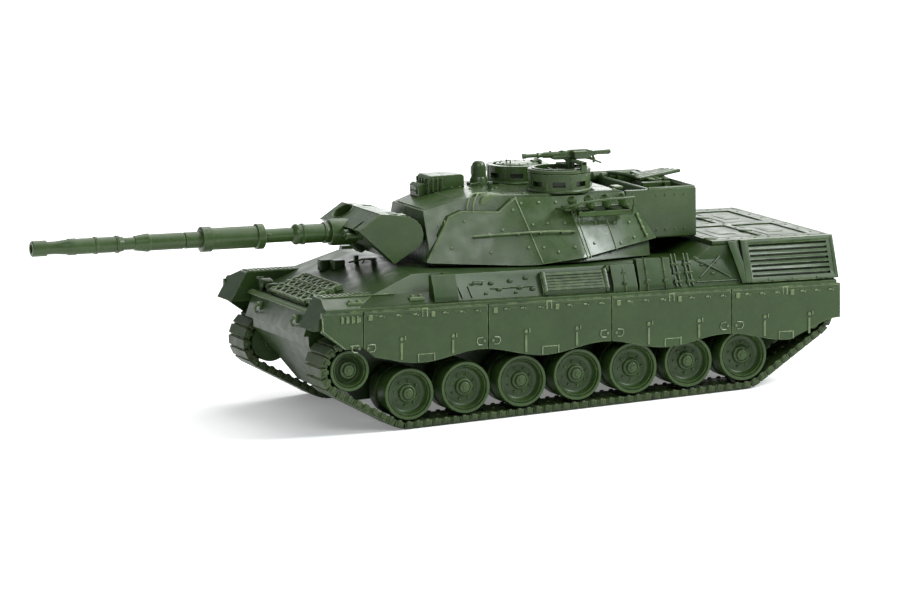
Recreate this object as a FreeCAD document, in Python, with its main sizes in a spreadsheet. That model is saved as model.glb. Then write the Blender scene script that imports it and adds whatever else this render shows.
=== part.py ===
import FreeCAD, Part
import math
import os

import Sketcher

# Small radio-controlled tank, 1:72, built as a parametric document in millimetres.
# Ground frame: +X to the bows, +Y to the vehicle's left, +Z up, origin on the ground.
# Hull frame: the same origin, turned nose-up about Y by hull_pitch. Upper works are drawn in it.

DIMENSIONS = {
    # where the drawing's origin stands ahead of the middle of the finished length, and the hull's lean
    "centre_shift": 0.505,
    "hull_pitch": 2.81,
    # hull frame: fore-and-aft stations, half widths and heights
    "stern_u": -64.5,
    "deck_front_u": -43.5,
    "step_foot_u": -40.5,
    "glacis_top_u": 8.0,
    "glacis_foot_u": 20.8,
    "nose_u": 24.2,
    "nose_tip_u": 25.6,
    "rim_w": 19.4,
    "fender_w": 19.9,
    "roof_w": 24.05,
    "deck_w": 26.2,
    "nose_w": 18.1,
    "nose_tip_w": 14.4,
    "bow_w": 12.6,
    "fender_half": 23.6,
    "side_foot_half": 22.4,
    "side_foot_w": 20.1,
    "side_top_half": 20.0,
    "shell_wall": 0.9,
    "chamfer_foot_half": 19.0,
    "chamfer_foot_w": 21.3,
    "chamfer_top_half": 17.0,
    "chamfer_start_u": 3.0,
    "fender_inner_half": 16.0,
    "fender_tip_u": 27.3,
    "fender_tip_w": 16.5,
    "fender_brow_u": 24.6,
    # tub, in the ground frame
    "tub_half": 13.2,
    "tub_wall": 0.8,
    "belly_z": 4.2,
    "belly_front_x": 16.5,
    "belly_rear_x": -59.0,
    "stern_foot_w": 11.0,
    # skirts
    "skirt_inner": 23.0,
    "skirt_outer": 23.9,
    "skirt_front_u": 26.0,
    "skirt_rear_u": -65.1,
    "skirt_mean_w": 11.3,
    "skirt_wave": 0.8,
    "skirt_pitch": 21.5,
    "skirt_low_u": -12.4,
    "skirt_bow_w": 13.6,
    "skirt_stern_w": 13.7,
    # running gear
    "wheel_pitch": 9.81,
    "first_wheel_x": 10.3,
    "wheel_z": 5.8,
    "wheel_radius": 4.25,
    "idler_x": 20.3,
    "idler_z": 10.7,
    "idler_radius": 3.38,
    "sprocket_x": -60.6,
    "sprocket_z": 11.7,
    "sprocket_radius": 3.08,
    "track_gap": 0.12,
    "track_thick": 1.43,
    "track_inner": 14.3,
    "track_outer": 22.4,
    "wheel_inner": 14.8,
    "wheel_outer": 22.3,
    "pin_radius": 0.6,
    "pin_end": 21.4,
    "running_gap": 0.06,
    # drive train
    "gear_module": 0.4,
    "final_teeth": 18,
    "pinion_teeth": 8,
    "wheel_teeth": 20,
    "mesh_gap": 0.05,
    "stage_angle": 32,
    "inner_gear_low": 7.4,
    "inner_gear_high": 8.4,
    "plate_low": 8.7,
    "plate_high": 9.7,
    "outer_gear_low": 10.0,
    "outer_gear_high": 11.2,
    "axle_radius": 1.0,
    "spindle_radius": 0.5,
    "motor_radius": 2.75,
    "motor_length": 10.0,
    "motor_face": 6.4,
    # turret, in the hull frame
    "turret_u": -15.0,
    "turret_w": 24.35,
    "turret_floor": 25.2,
    "turret_roof": 35.2,
    "spigot_radius": 10.65,
    "race_radius": 10.73,
    "ring_teeth": 60,
    "turret_pinion_teeth": 12,
    "ring_low": 21.4,
    "ring_high": 22.9,
    # gun
    "trunnion_u": 6.2,
    "trunnion_w": 29.2,
    "nose_radius": 2.2,
    "cheek_half": 9.0,
    "bore_radius": 0.7,
    # cupolas
    "cupola_u": -22.0,
    "cupola_v": 7.0,
    "cupola_radius": 5.2,
    "cupola_w": 38.2,
}


class Size:
    """A length worked out from the sheet: its formula, for setExpression, and its number now."""

    def __init__(self, text, number):
        self.text = text
        self.number = float(number)

    def joined(self, sign, other, number):
        return Size("(%s %s %s)" % (self.text, sign, size(other).text), number)

    def __add__(self, other):
        return self.joined("+", other, self.number + size(other).number)

    def __sub__(self, other):
        return self.joined("-", other, self.number - size(other).number)

    def __mul__(self, other):
        return self.joined("*", other, self.number * size(other).number)

    def __truediv__(self, other):
        return self.joined("/", other, self.number / size(other).number)

    def __radd__(self, other):
        return size(other) + self

    def __rsub__(self, other):
        return size(other) - self

    def __rmul__(self, other):
        return size(other) * self

    def __neg__(self):
        return size(0) - self


def size(value):
    return value if isinstance(value, Size) else Size("%g" % value, value)


def sine(angle):
    return Size("sin(%s)" % size(angle).text, math.sin(math.radians(size(angle).number)))


def cosine(angle):
    return Size("cos(%s)" % size(angle).text, math.cos(math.radians(size(angle).number)))


class Sheet:
    """The driving dimensions, each readable as a Size by its name."""

    def __init__(self, doc, table):
        self.object = doc.addObject("Spreadsheet::Sheet", "Dim")
        for row, (name, value) in enumerate(table.items(), 1):
            self.object.set("A%d" % row, name)
            self.object.set("B%d" % row, "%g" % value)
            self.object.setAlias("B%d" % row, name)
            setattr(self, name, Size("Dim.%s" % name, value))


doc = FreeCAD.newDocument("rc_tank")
dim = Sheet(doc, DIMENSIONS)
doc.recompute()
nodes = []


def bind(thing, name, value):
    """Set a property from a Size, and keep it bound to the sheet."""
    value = size(value)
    if "Dim." in value.text:
        thing.setExpression(name, value.text)
    elif "." not in name:
        setattr(thing, name, value.number)
    return value.number


def move(thing, x=0, y=0, z=0, turn=None):
    """Put a piece at a bound place, turned as told."""
    place = FreeCAD.Vector(size(x).number, size(y).number, size(z).number)
    thing.Placement = FreeCAD.Placement(place, turn or FreeCAD.Rotation())
    for axis, value in zip("xyz", (x, y, z)):
        bind(thing, "Placement.Base.%s" % axis, value)
    return thing


def in_ground(u, w):
    """A point of the hull frame's side view, in the ground frame."""
    sin, cos = sine(dim.hull_pitch), cosine(dim.hull_pitch)
    return u * cos - w * sin, u * sin + w * cos


def node(label, parts, hull=False):
    """One sub-part, from one solid or a group of separate ones, in the ground or the hull frame."""
    group = doc.addObject("Part::Compound", "node_" + label)
    group.Links = parts if isinstance(parts, list) else [parts]
    group.Label = label
    lean = FreeCAD.Rotation(FreeCAD.Vector(0, -1, 0), dim.hull_pitch.number if hull else 0)
    move(group, dim.centre_shift, turn=lean)
    if hull:
        group.setExpression("Placement.Rotation.Angle", dim.hull_pitch.text)
    nodes.append(group)
    return group


def block(u, v, w):
    """A box between two bound corners, given as (low, high) pairs."""
    box = doc.addObject("Part::Box", "block")
    for name, (low, high) in zip(("Length", "Width", "Height"), (u, v, w)):
        bind(box, name, size(high) - low)
    return move(box, u[0], v[0], w[0])


ALONG = {
    "x": FreeCAD.Rotation(FreeCAD.Vector(0, 1, 0), 90),
    "y": FreeCAD.Rotation(FreeCAD.Vector(1, 0, 0), -90),
    "z": FreeCAD.Rotation(),
}


def rod(axis, low, high, radius, u=0, v=0, w=0, top_radius=None):
    """A cylinder, or a cone with top_radius, along an axis from low to high."""
    kind = "Part::Cylinder" if top_radius is None else "Part::Cone"
    bar = doc.addObject(kind, "rod")
    if top_radius is None:
        bind(bar, "Radius", radius)
    else:
        bind(bar, "Radius1", radius)
        bind(bar, "Radius2", top_radius)
    bind(bar, "Height", size(high) - low)
    place = {"x": (low, v, w), "y": (u, low, w), "z": (u, v, low)}[axis]
    return move(bar, *place, turn=ALONG[axis])


def origin_plane(body, role):
    return [f for f in body.Origin.OriginFeatures if f.Role == role][0]


def outline(body, plane, points):
    """A sketch of a closed outline, each corner held by two dimensions bound to the sheet."""
    sketch = body.newObject("Sketcher::SketchObject", "outline")
    sketch.AttachmentSupport = [(origin_plane(body, plane), "")]
    sketch.MapMode = "FlatFace"
    corners = [FreeCAD.Vector(size(a).number, size(b).number, 0) for a, b in points]
    count = len(corners)
    for i in range(count):
        sketch.addGeometry(Part.LineSegment(corners[i], corners[(i + 1) % count]), False)
    for i in range(count):
        sketch.addConstraint(Sketcher.Constraint("Coincident", i, 2, (i + 1) % count, 1))
    for i, pair in enumerate(points):
        for kind, value in zip(("DistanceX", "DistanceY"), pair):
            held = Sketcher.Constraint(kind, -1, 1, i, 1, size(value).number)
            index = sketch.addConstraint(held)
            if "Dim." in size(value).text:
                sketch.setExpression("Constraints[%d]" % index, value.text)
    return sketch


def slab(plane, points, low, high):
    """An outline on an origin plane, padded from low to high along the third axis."""
    body = doc.addObject("PartDesign::Body", "slab")
    sketch = outline(body, plane, points)
    shift = -size(high) if plane == "XZ_Plane" else size(low)
    sketch.AttachmentOffset = FreeCAD.Placement(
        FreeCAD.Vector(0, 0, shift.number), FreeCAD.Rotation()
    )
    bind(sketch, "AttachmentOffset.Base.z", shift)
    pad = body.newObject("PartDesign::Pad", "pad")
    pad.Profile = sketch
    bind(pad, "Length", size(high) - low)
    return body


def turned(axis, points):
    """An outline of (place along the axis, radius) pairs, revolved about that axis."""
    body = doc.addObject("PartDesign::Body", "turned")
    plane = "XY_Plane" if axis == "y" else "XZ_Plane"
    if axis != "x":
        points = [(radius, along) for along, radius in points]
    sketch = outline(body, plane, points)
    spin = body.newObject("PartDesign::Revolution", "revolution")
    spin.Profile = sketch
    spin.ReferenceAxis = (sketch, ["H_Axis" if axis == "x" else "V_Axis"])
    spin.Angle = 360
    return body


def joined(*pieces):
    made = doc.addObject("Part::MultiFuse", "joined")
    made.Shapes = list(pieces)
    made.Refine = True
    return made


def shared(*pieces):
    made = doc.addObject("Part::MultiCommon", "shared")
    made.Shapes = list(pieces)
    return made


def less(base, *tools):
    made = doc.addObject("Part::Cut", "less")
    made.Base = base
    made.Tool = tools[0] if len(tools) == 1 else joined(*tools)
    return made


def drawn(name, shape):
    """A piece whose outline is a formula, held as a plain feature."""
    made = doc.addObject("Part::Feature", name)
    made.Shape = shape
    return made


def sides(draw):
    """The left piece and the right piece of a pair, drawn by one function of the side."""
    return [draw(1), draw(-1)]


def span(side, low, high):
    """A stretch of Y on the left side, or the same on the right."""
    return (low, high) if side > 0 else (-size(high), -size(low))


# ---------------------------------------------------------------- hull


def tub_outline(inset):
    """The tub's side view: belly, bow, rim and stern, drawn in by inset."""
    top = dim.rim_w if not inset else dim.rim_w + 2
    return [
        (dim.belly_rear_x + inset * 0.6, dim.belly_z + inset),
        (dim.belly_front_x - inset * 0.3, dim.belly_z + inset),
        in_ground(dim.nose_u + 0.2 - inset, dim.bow_w + inset * 0.4),
        in_ground(dim.nose_tip_u - 1.1 - inset, dim.nose_tip_w),
        in_ground(dim.nose_u - 1.1 - inset, dim.nose_w - 0.8),
        in_ground(dim.glacis_foot_u - 1.6 - inset, dim.rim_w),
        in_ground(dim.glacis_foot_u - 1.6 - inset, top),
        in_ground(dim.stern_u - inset, top),
        in_ground(dim.stern_u - inset, dim.stern_foot_w + inset * 1.9),
    ]


def lower_hull():
    """The open-topped tub that carries every axle, with its bearing holes and belly openings."""
    outer = tub_outline(size(0))
    del outer[6:8]
    outer.insert(6, in_ground(dim.stern_u, dim.rim_w))
    wall = dim.tub_wall
    shell = less(
        slab("XZ_Plane", outer, -dim.tub_half, dim.tub_half),
        slab("XZ_Plane", tub_outline(wall), wall - dim.tub_half, dim.tub_half - wall),
    )
    ribs = [
        block((x, x + 1.2), (-9, 9), (dim.belly_z + wall, dim.belly_z + 2.5))
        for x in (-34.6, -24.7)
    ]
    holes = [rod("y", -14, 14, dim.pin_radius, u=x, w=z) for x, z in pin_places()]
    shaft_hole = dim.axle_radius + dim.running_gap
    holes.append(rod("y", -14, 14, shaft_hole, u=dim.sprocket_x, w=dim.sprocket_z))
    spindle_hole = dim.spindle_radius + dim.running_gap
    holes.append(rod("y", -12.9, 12.9, spindle_hole, u=spindle_x(), w=dim.sprocket_z))
    holes.append(block((-16.6, -12.4), (-0.8, 0.8), (4, 5.2)))
    holes.append(block((-5.6, -3.2), (-0.9, 0.9), (4, 5.2)))
    for x, y in screw_places():
        holes.append(rod("z", 4, 5.2, 0.55, u=x, v=y))
    return node("lower_hull", less(joined(shell, *ribs), *holes))


def screw_places():
    return [(x, y) for x in (5.4, -43.6) for y in (10.2, -10.2)]


def hull_sides(inset):
    """The hull's cross-section above the rim, drawn in by inset."""
    rise = dim.deck_w - inset
    half = [
        (dim.fender_half - inset, dim.rim_w + inset * 0.5),
        (dim.fender_half - inset, dim.fender_w - inset * 0.2),
        (dim.side_foot_half - inset, dim.side_foot_w),
        (dim.side_top_half - inset, dim.roof_w - inset),
        (dim.side_top_half - inset, rise),
    ]
    return half + [(-v, w) for v, w in reversed(half)]


def hull_body():
    """The solid block of the upper hull, before it is hollowed."""
    profile = [
        (dim.stern_u, dim.rim_w),
        (dim.glacis_foot_u, dim.rim_w),
        (dim.glacis_top_u, dim.roof_w),
        (dim.step_foot_u, dim.roof_w),
        (dim.deck_front_u, dim.deck_w),
        (dim.stern_u, dim.deck_w),
    ]
    long_view = slab("XZ_Plane", profile, -dim.fender_half, dim.fender_half)
    cross_view = slab("YZ_Plane", hull_sides(size(0)), dim.stern_u, dim.glacis_foot_u)
    block_body = shared(long_view, cross_view)
    chamfers = []
    for side in (1, -1):
        corner = [
            (side * dim.chamfer_foot_half, dim.chamfer_foot_w),
            (side * dim.side_foot_half, dim.side_foot_w),
            (side * (dim.side_foot_half + 1), dim.side_foot_w + 5),
            (side * dim.chamfer_top_half, dim.roof_w + 1),
            (side * dim.chamfer_top_half, dim.roof_w),
        ]
        chamfers.append(slab("YZ_Plane", corner, dim.chamfer_start_u, dim.nose_u))
    return less(block_body, *chamfers)


def upper_hull():
    """The upper shell: glacis, roof with the turret race, sides, fenders and motor bracket."""
    wall = dim.shell_wall
    hollow = [
        (dim.stern_u + wall, dim.rim_w - 1),
        (dim.glacis_foot_u - 2.7, dim.rim_w - 1),
        (dim.glacis_foot_u - 2.7, dim.rim_w),
        (dim.glacis_top_u - 0.2, dim.roof_w - wall),
        (dim.step_foot_u - 0.6, dim.roof_w - wall),
        (dim.deck_front_u - 0.6, dim.deck_w - wall),
        (dim.stern_u + wall, dim.deck_w - wall),
    ]
    middle = slab("XZ_Plane", hollow, dim.tub_wall - dim.tub_half, dim.tub_half - dim.tub_wall)
    sponson = [(v, w + 0.5 * wall) if i in (0, 9) else (v, w)
               for i, (v, w) in enumerate(hull_sides(wall))]
    raised = [(u, w) if i > 1 else (u, dim.rim_w + wall) for i, (u, w) in enumerate(hollow)]
    raised.pop(2)
    wide = shared(
        slab("XZ_Plane", raised, -16, 16),
        slab("YZ_Plane", sponson, dim.stern_u + wall, dim.glacis_foot_u - 3),
    )
    nose = [
        (dim.glacis_foot_u - 1.6, dim.rim_w),
        (dim.nose_u - 1.1, dim.nose_w - 0.8),
        (dim.nose_tip_u - 1.1, dim.nose_tip_w),
        (dim.nose_tip_u, dim.nose_tip_w),
        (dim.nose_u, dim.nose_w),
        (dim.glacis_foot_u, dim.rim_w),
    ]
    plate = slab("XZ_Plane", nose, -13.9, 13.9)
    motor_u = turret_motor_u()
    bracket = less(
        block((motor_u - 3.9, motor_u + 4), (-3.8, 3.8), (14.5, 17.5)),
        rod("z", 14, 18, dim.motor_radius, u=motor_u),
    )
    hanger = block((motor_u + 3.2, motor_u + 4), (-3.8, 3.8), (14.5, dim.roof_w - wall))
    race = rod("z", dim.roof_w - 2, dim.roof_w + 1, dim.race_radius, u=dim.turret_u)
    shell = less(hull_body(), joined(middle, wide), race)
    return node("upper_hull", joined(shell, plate, bracket, hanger), hull=True)


def engine_deck():
    """The flat cover over the engine bay, with its two recessed panels."""
    half = dim.side_top_half
    length = (dim.stern_u - 0.8, dim.deck_front_u - 0.3)
    cover = block(length, (-half, half), (dim.deck_w, dim.deck_w + 0.8))
    panels = [
        block((low, high), (v, v + 15), (dim.deck_w + 0.6, dim.deck_w + 1))
        for low, high in ((-62.5, -55), (-54, -46))
        for v in (-16.5, 1.5)
    ]
    return node("engine_deck", less(cover, *panels), hull=True)


def rear_plate():
    """The stern wall across the hull and the tub."""
    thick = (dim.stern_u - 0.8, dim.stern_u)
    low = block(thick, (-dim.tub_half, dim.tub_half), (dim.stern_foot_w, dim.rim_w))
    high = block(thick, (-dim.side_top_half, dim.side_top_half), (dim.rim_w, dim.deck_w))
    return node("rear_plate", joined(low, high), hull=True)


def skirt(side):
    """One side skirt: a plate whose foot waves over the road wheels."""
    first, last = dim.skirt_rear_u.number + 9, dim.skirt_front_u.number - 9
    foot = []
    for i in range(37):
        u = first + (last - first) * i / 36
        swing = math.cos(2 * math.pi * (u - dim.skirt_low_u.number) / dim.skirt_pitch.number)
        foot.append(FreeCAD.Vector(u, 0, dim.skirt_mean_w.number - dim.skirt_wave.number * swing))
    wave = Part.BSplineCurve()
    wave.interpolate(foot)
    rear, front = dim.skirt_rear_u.number, dim.skirt_front_u.number
    top = dim.rim_w.number
    corners = [
        foot[-1],
        FreeCAD.Vector(front - 7, 0, dim.skirt_bow_w.number),
        FreeCAD.Vector(front - 4, 0, dim.skirt_bow_w.number - 0.3),
        FreeCAD.Vector(front, 0, top - 3.2),
        FreeCAD.Vector(front, 0, top),
        FreeCAD.Vector(rear, 0, top),
        FreeCAD.Vector(rear, 0, dim.skirt_stern_w.number),
        FreeCAD.Vector(rear + 2.2, 0, dim.skirt_stern_w.number - 0.2),
        foot[0],
    ]
    edges = [wave.toShape()]
    edges += [Part.makeLine(a, b) for a, b in zip(corners, corners[1:])]
    low, high = sorted((side * dim.skirt_inner.number, side * dim.skirt_outer.number))
    face = Part.Face(Part.Wire(edges))
    plate = face.extrude(FreeCAD.Vector(0, high - low, 0))
    plate.translate(FreeCAD.Vector(0, low, 0))
    name = "skirt_left" if side > 0 else "skirt_right"
    return node(name, drawn(name + "_plate", plate), hull=True)


def front_fenders():
    """The raised boxes over the idlers, hollow below, one each side of the glacis."""

    def fender(side):
        inner, foot = dim.fender_inner_half, dim.fender_tip_w
        top = dim.chamfer_foot_w
        section = [
            (inner, foot),
            (inner, top),
            (dim.chamfer_foot_half, top),
            (dim.side_foot_half, dim.side_foot_w),
            (dim.fender_half, dim.fender_w),
            (dim.fender_half, dim.rim_w),
            (dim.skirt_inner, dim.rim_w),
            (dim.skirt_inner, foot),
        ]
        wall = 0.7
        hollow = [
            (inner + wall, foot - 1),
            (inner + wall, top - wall),
            (dim.chamfer_foot_half - 0.2, top - wall),
            (dim.side_foot_half, dim.side_foot_w - wall),
            (dim.skirt_inner - wall, dim.rim_w - 0.3),
            (dim.skirt_inner - wall, foot - 1),
        ]
        brow = [
            (dim.fender_brow_u, top + 1),
            (dim.fender_brow_u, top - 0.2),
            (dim.fender_tip_u, foot),
            (dim.fender_tip_u + 1, foot),
            (dim.fender_tip_u + 1, top + 1),
        ]
        rear = dim.glacis_foot_u - 1
        box = slab("YZ_Plane", [(side * v, w) for v, w in section], 9, dim.fender_tip_u)
        cavity = [(side * v, w) for v, w in hollow]
        inside = slab("YZ_Plane", cavity, rear + 0.8, dim.fender_brow_u - 0.6)
        slope = slab("XZ_Plane", brow, -25, 25)
        below = block((8, rear), (-25, 25), (foot - 2, dim.rim_w))
        return less(box, inside, slope, below, hull_body())

    return node("front_fenders", sides(fender), hull=True)


def exhaust_grilles():
    """The slatted outlet boxes on both flanks of the engine bay."""

    def grille(side):
        section = [
            (dim.side_top_half, dim.side_foot_w + 0.1),
            (23.1, dim.side_foot_w + 0.1),
            (20.5, 27.0),
            (dim.side_top_half, 27.0),
        ]
        box = slab("YZ_Plane", [(side * v, w) for v, w in section], dim.stern_u - 0.6, -48.6)
        slots = []
        for i in range(7):
            w = 21.0 + 0.8 * i
            v = 23.1 - (w - dim.side_foot_w.number) * 0.377
            cut = block((-63.8, -49.8), span(side, v - 0.55, v + 1), (w, w + 0.38))
            slots.append(cut)
        return less(box, *slots, hull_body())

    return node("exhaust_grilles", sides(grille), hull=True)


def side_stowage():
    """Stowage boxes, the ribbed box and the wedge-shaped cover along both flanks."""

    def locker(side, low, high, top, out):
        section = [
            (20.2, dim.side_foot_w - 0.3),
            (out, dim.side_foot_w - 0.3),
            (out, dim.side_foot_w + 0.8),
            (out - 1.6, top),
            (19.9, top),
        ]
        return slab("YZ_Plane", [(side * v, w) for v, w in section], low, high)

    pieces = []
    for side in (1, -1):
        for low, high, top, out in (
            (-35.4, -29.6, 24.9, 22.9),
            (-29.2, -25.0, 24.2, 22.9),
            (-24.2, -12.7, 23.5, 22.7),
            (2.0, 6.2, 24.2, 22.7),
        ):
            pieces.append(less(locker(side, low, high, top, out), hull_body()))
    return node("side_stowage", pieces, hull=True)


def front_lamps():
    """The headlamp and marker clusters on the glacis."""

    def cluster(side):
        v = side * 12.2
        foot = block((20.9, 22.7), (v - 1.4, v + 1.4), (17.6, 20.0))
        lamp = rod("x", 21.4, 23.5, 0.95, v=v + side * 0.3, w=19.7)
        return less(joined(foot, lamp), nose_block())

    return node("front_lamps", sides(cluster), hull=True)


def nose_block():
    """The solid under the glacis, used to seat pieces on its slope."""
    profile = [
        (dim.glacis_top_u, dim.roof_w),
        (dim.glacis_foot_u, dim.rim_w),
        (dim.nose_u, dim.nose_w),
        (dim.nose_tip_u, dim.nose_tip_w),
        (dim.glacis_top_u, dim.nose_tip_w),
    ]
    return slab("XZ_Plane", profile, -dim.fender_half, dim.fender_half)


def spare_grouser_rack():
    """The block of spare track grousers laid on the glacis."""
    outer = [(16.3, 20.4), (23.2, 17.9), (23.4, 19.2), (16.6, 21.8)]
    grid = less(slab("XZ_Plane", outer, -8.2, 8.2), nose_block())
    return node("spare_grouser_rack", grid, hull=True)


# ---------------------------------------------------------------- running gear


def wheel_places():
    return [dim.first_wheel_x - i * dim.wheel_pitch for i in range(7)]


def pin_places():
    return [(x, dim.wheel_z) for x in wheel_places()] + [(dim.idler_x, dim.idler_z)]


def wheel_outline(side, radius):
    """Road wheel half-section: twin discs, a dished outer face and a snap groove in the bore."""
    bore = dim.pin_radius + dim.running_gap
    snap = bore + 0.18
    face, back = dim.wheel_outer, dim.wheel_inner
    section = [
        (dim.tub_half + 0.15, bore),
        (dim.tub_half + 0.15, size(1.4)),
        (back, size(1.4)),
        (back, radius),
        (back + 3.1, radius),
        (back + 3.1, radius - 1.05),
        (back + 4.1, radius - 1.05),
        (back + 4.1, radius),
        (face, radius),
        (face, radius - 0.75),
        (face - 1.0, radius - 1.1),
        (face - 1.0, size(1.5)),
        (face - 0.2, size(1.3)),
        (face - 0.2, size(0)),
        (dim.pin_end + 0.1, size(0)),
        (dim.pin_end + 0.1, bore),
        (dim.pin_end - 0.3, bore),
        (dim.pin_end - 0.3, snap),
        (dim.pin_end - 0.8, snap),
        (dim.pin_end - 0.8, bore),
    ]
    return [(side * along, across) for along, across in section]


def wheels():
    """Seven road wheels and an idler on each side, each free on its pin."""
    for side, name in ((1, "left"), (-1, "right")):
        for i, x in enumerate(wheel_places()):
            wheel = turned("y", wheel_outline(side, dim.wheel_radius))
            node("road_wheel_%s_%d" % (name, i + 1), move(wheel, x, 0, dim.wheel_z))
        idler = turned("y", wheel_outline(side, dim.idler_radius))
        node("idler_%s" % name, move(idler, dim.idler_x, 0, dim.idler_z))


def wheel_axles():
    """The steel pins through the tub, each with a bead near its ends that holds a wheel."""
    end, bead = dim.pin_end, dim.pin_radius + 0.16
    half = [
        (end - 0.75, dim.pin_radius),
        (end - 0.75, bead),
        (end - 0.35, bead),
        (end - 0.35, dim.pin_radius),
        (end, dim.pin_radius),
        (end, size(0)),
    ]
    mirrored = [(-along, across) for along, across in reversed(half)]
    pins = [move(turned("y", mirrored + half), x, 0, z) for x, z in pin_places()]
    return node("wheel_axles", pins)


def belt_loop(inset):
    """The closed loop round idler, end road wheels and sprocket, drawn in by inset."""
    gap = dim.track_gap.number + dim.track_thick.number - inset
    circles = [
        (dim.first_wheel_x.number, dim.wheel_z.number, dim.wheel_radius.number + gap),
        (dim.idler_x.number, dim.idler_z.number, dim.idler_radius.number + gap),
        (dim.sprocket_x.number, dim.sprocket_z.number, dim.sprocket_radius.number + gap),
        (wheel_places()[-1].number, dim.wheel_z.number, dim.wheel_radius.number + gap),
    ]
    edges, arrivals, departures = [], [], []
    for (x0, z0, r0), (x1, z1, r1) in zip(circles, circles[1:] + circles[:1]):
        course = math.atan2(z1 - z0, x1 - x0)
        lean = math.asin((r0 - r1) / math.hypot(x1 - x0, z1 - z0))
        out = course - math.pi / 2 + lean
        start = FreeCAD.Vector(x0 + r0 * math.cos(out), 0, z0 + r0 * math.sin(out))
        stop = FreeCAD.Vector(x1 + r1 * math.cos(out), 0, z1 + r1 * math.sin(out))
        edges.append(Part.makeLine(start, stop))
        departures.append((out, start))
        arrivals.append((out, stop))
    for i, (x, z, r) in enumerate(circles):
        came, start = arrivals[i - 1]
        left, stop = departures[i]
        while left < came:
            left += 2 * math.pi
        turn = (came + left) / 2
        crest = FreeCAD.Vector(x + r * math.cos(turn), 0, z + r * math.sin(turn))
        edges.append(Part.Arc(start, crest, stop).toShape())
    return Part.Wire(Part.__sortEdges__(edges))


def track(side):
    """One track as a closed band of constant thickness."""
    low, high = sorted((side * dim.track_inner.number, side * dim.track_outer.number))
    width = FreeCAD.Vector(0, high - low, 0)
    outer = Part.Face(belt_loop(0)).extrude(width)
    inner = Part.Face(belt_loop(dim.track_thick.number)).extrude(width)
    band = outer.cut(inner)
    band.translate(FreeCAD.Vector(0, low, 0))
    name = "track_left" if side > 0 else "track_right"
    return node(name, drawn(name + "_band", band))


# ---------------------------------------------------------------- drive train


def pitch_radius(teeth):
    return dim.gear_module * teeth / 2


def spindle_x():
    return dim.sprocket_x + pitch_radius(dim.final_teeth + dim.pinion_teeth) + dim.mesh_gap


def motor_place(side):
    """The motor's axis: one stage on from the spindle, below it on the left, above on the right."""
    reach = pitch_radius(dim.wheel_teeth + dim.pinion_teeth) + dim.mesh_gap
    along = spindle_x() + reach * cosine(dim.stage_angle)
    return along, dim.sprocket_z - side * reach * sine(dim.stage_angle)


def gear_face(teeth, first, hole=0.0):
    """A spur gear's face: slim straight-sided teeth, one of them centred at the angle first."""
    module = dim.gear_module.number
    radius = module * teeth / 2
    step = 2 * math.pi / teeth
    points = []
    for i in range(int(teeth)):
        middle = math.radians(first) + i * step
        for reach, turn in ((-1.15, -0.27), (0.85, -0.09), (0.85, 0.09), (-1.15, 0.27)):
            angle = middle + turn * step
            r = radius + reach * module
            points.append(FreeCAD.Vector(r * math.cos(angle), r * math.sin(angle), 0))
    face = Part.Face(Part.makePolygon(points + points[:1]))
    if hole:
        face = face.cut(Part.Face(Part.Wire(Part.makeCircle(hole))))
    return face


def gear(name, teeth, first, low, high, x, z, hole=0.0):
    """A spur gear across the vehicle, between low and high on the Y axis."""
    solid = gear_face(teeth, first, hole).extrude(FreeCAD.Vector(0, 0, high - low))
    solid.rotate(FreeCAD.Vector(), FreeCAD.Vector(1, 0, 0), 90)
    solid.translate(FreeCAD.Vector(x, high, z))
    return drawn(name, solid)


def band(side, low, high):
    """Numbers of a stretch of Y, low first, on the given side."""
    return sorted((side * low.number, side * high.number))


def drive_train(side):
    """Sprocket, drive axle with its final gear, reduction gear and motor pinion of one side."""
    name = "left" if side > 0 else "right"
    x, z = dim.sprocket_x, dim.sprocket_z
    reach = dim.sprocket_radius
    back, face = dim.wheel_inner, dim.wheel_outer
    section = [
        (back, dim.axle_radius),
        (back, reach),
        (back + 1.2, reach),
        (back + 1.2, reach - 0.8),
        (face - 1.4, reach - 0.8),
        (face - 1.4, reach),
        (face - 0.2, reach),
        (face - 0.2, size(1.6)),
        (face - 0.7, size(1.3)),
        (face - 0.7, size(0)),
        (face - 0.9, size(0)),
        (face - 0.9, dim.axle_radius),
    ]
    drum = turned("y", [(side * along, across) for along, across in section])
    notches = []
    for i in range(11):
        angle = 360.0 * i / 11
        notch_x, notch_z = (reach + 0.15) * cosine(angle), (reach + 0.15) * sine(angle)
        low, high = span(side, back - 1, face + 1)
        notches.append(rod("y", low, high, 0.42, u=notch_x, w=notch_z))
    node("sprocket_" + name, move(less(drum, *notches), x, 0, z))

    low, high = span(side, dim.plate_low, face - 0.9)
    shaft = rod("y", low, high, dim.axle_radius, u=x, w=z)
    outer = band(side, dim.outer_gear_low, dim.outer_gear_high)
    final = gear("final_gear", dim.final_teeth.number, 0, *outer, x.number, z.number)
    node("drive_axle_" + name, joined(shaft, final))

    pin_x, pin_z = spindle_x(), z
    half_step = 180.0 / dim.pinion_teeth.number
    lean = -side * dim.stage_angle.number
    few, many = dim.pinion_teeth.number, dim.wheel_teeth.number
    small = gear("small_gear", few, 180 - half_step, *outer, pin_x.number, pin_z.number)
    inner = band(side, dim.inner_gear_low, dim.inner_gear_high)
    large = gear("large_gear", many, lean, *inner, pin_x.number, pin_z.number)
    low, high = span(side, dim.inner_gear_low - 0.5, size(12.8))
    spindle = rod("y", low, high, dim.spindle_radius, u=pin_x, w=pin_z)
    node("reduction_gear_" + name, joined(spindle, small, large))

    motor_x, motor_z = motor_place(side)
    first = lean + 180 - half_step
    pinion = gear("motor_pinion", few, first, *inner, motor_x.number, motor_z.number)
    low, high = span(side, dim.motor_face + 0.1, dim.inner_gear_high)
    stub = rod("y", low, high, 0.4, u=motor_x, w=motor_z)
    node("motor_pinion_" + name, joined(stub, pinion))


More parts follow.
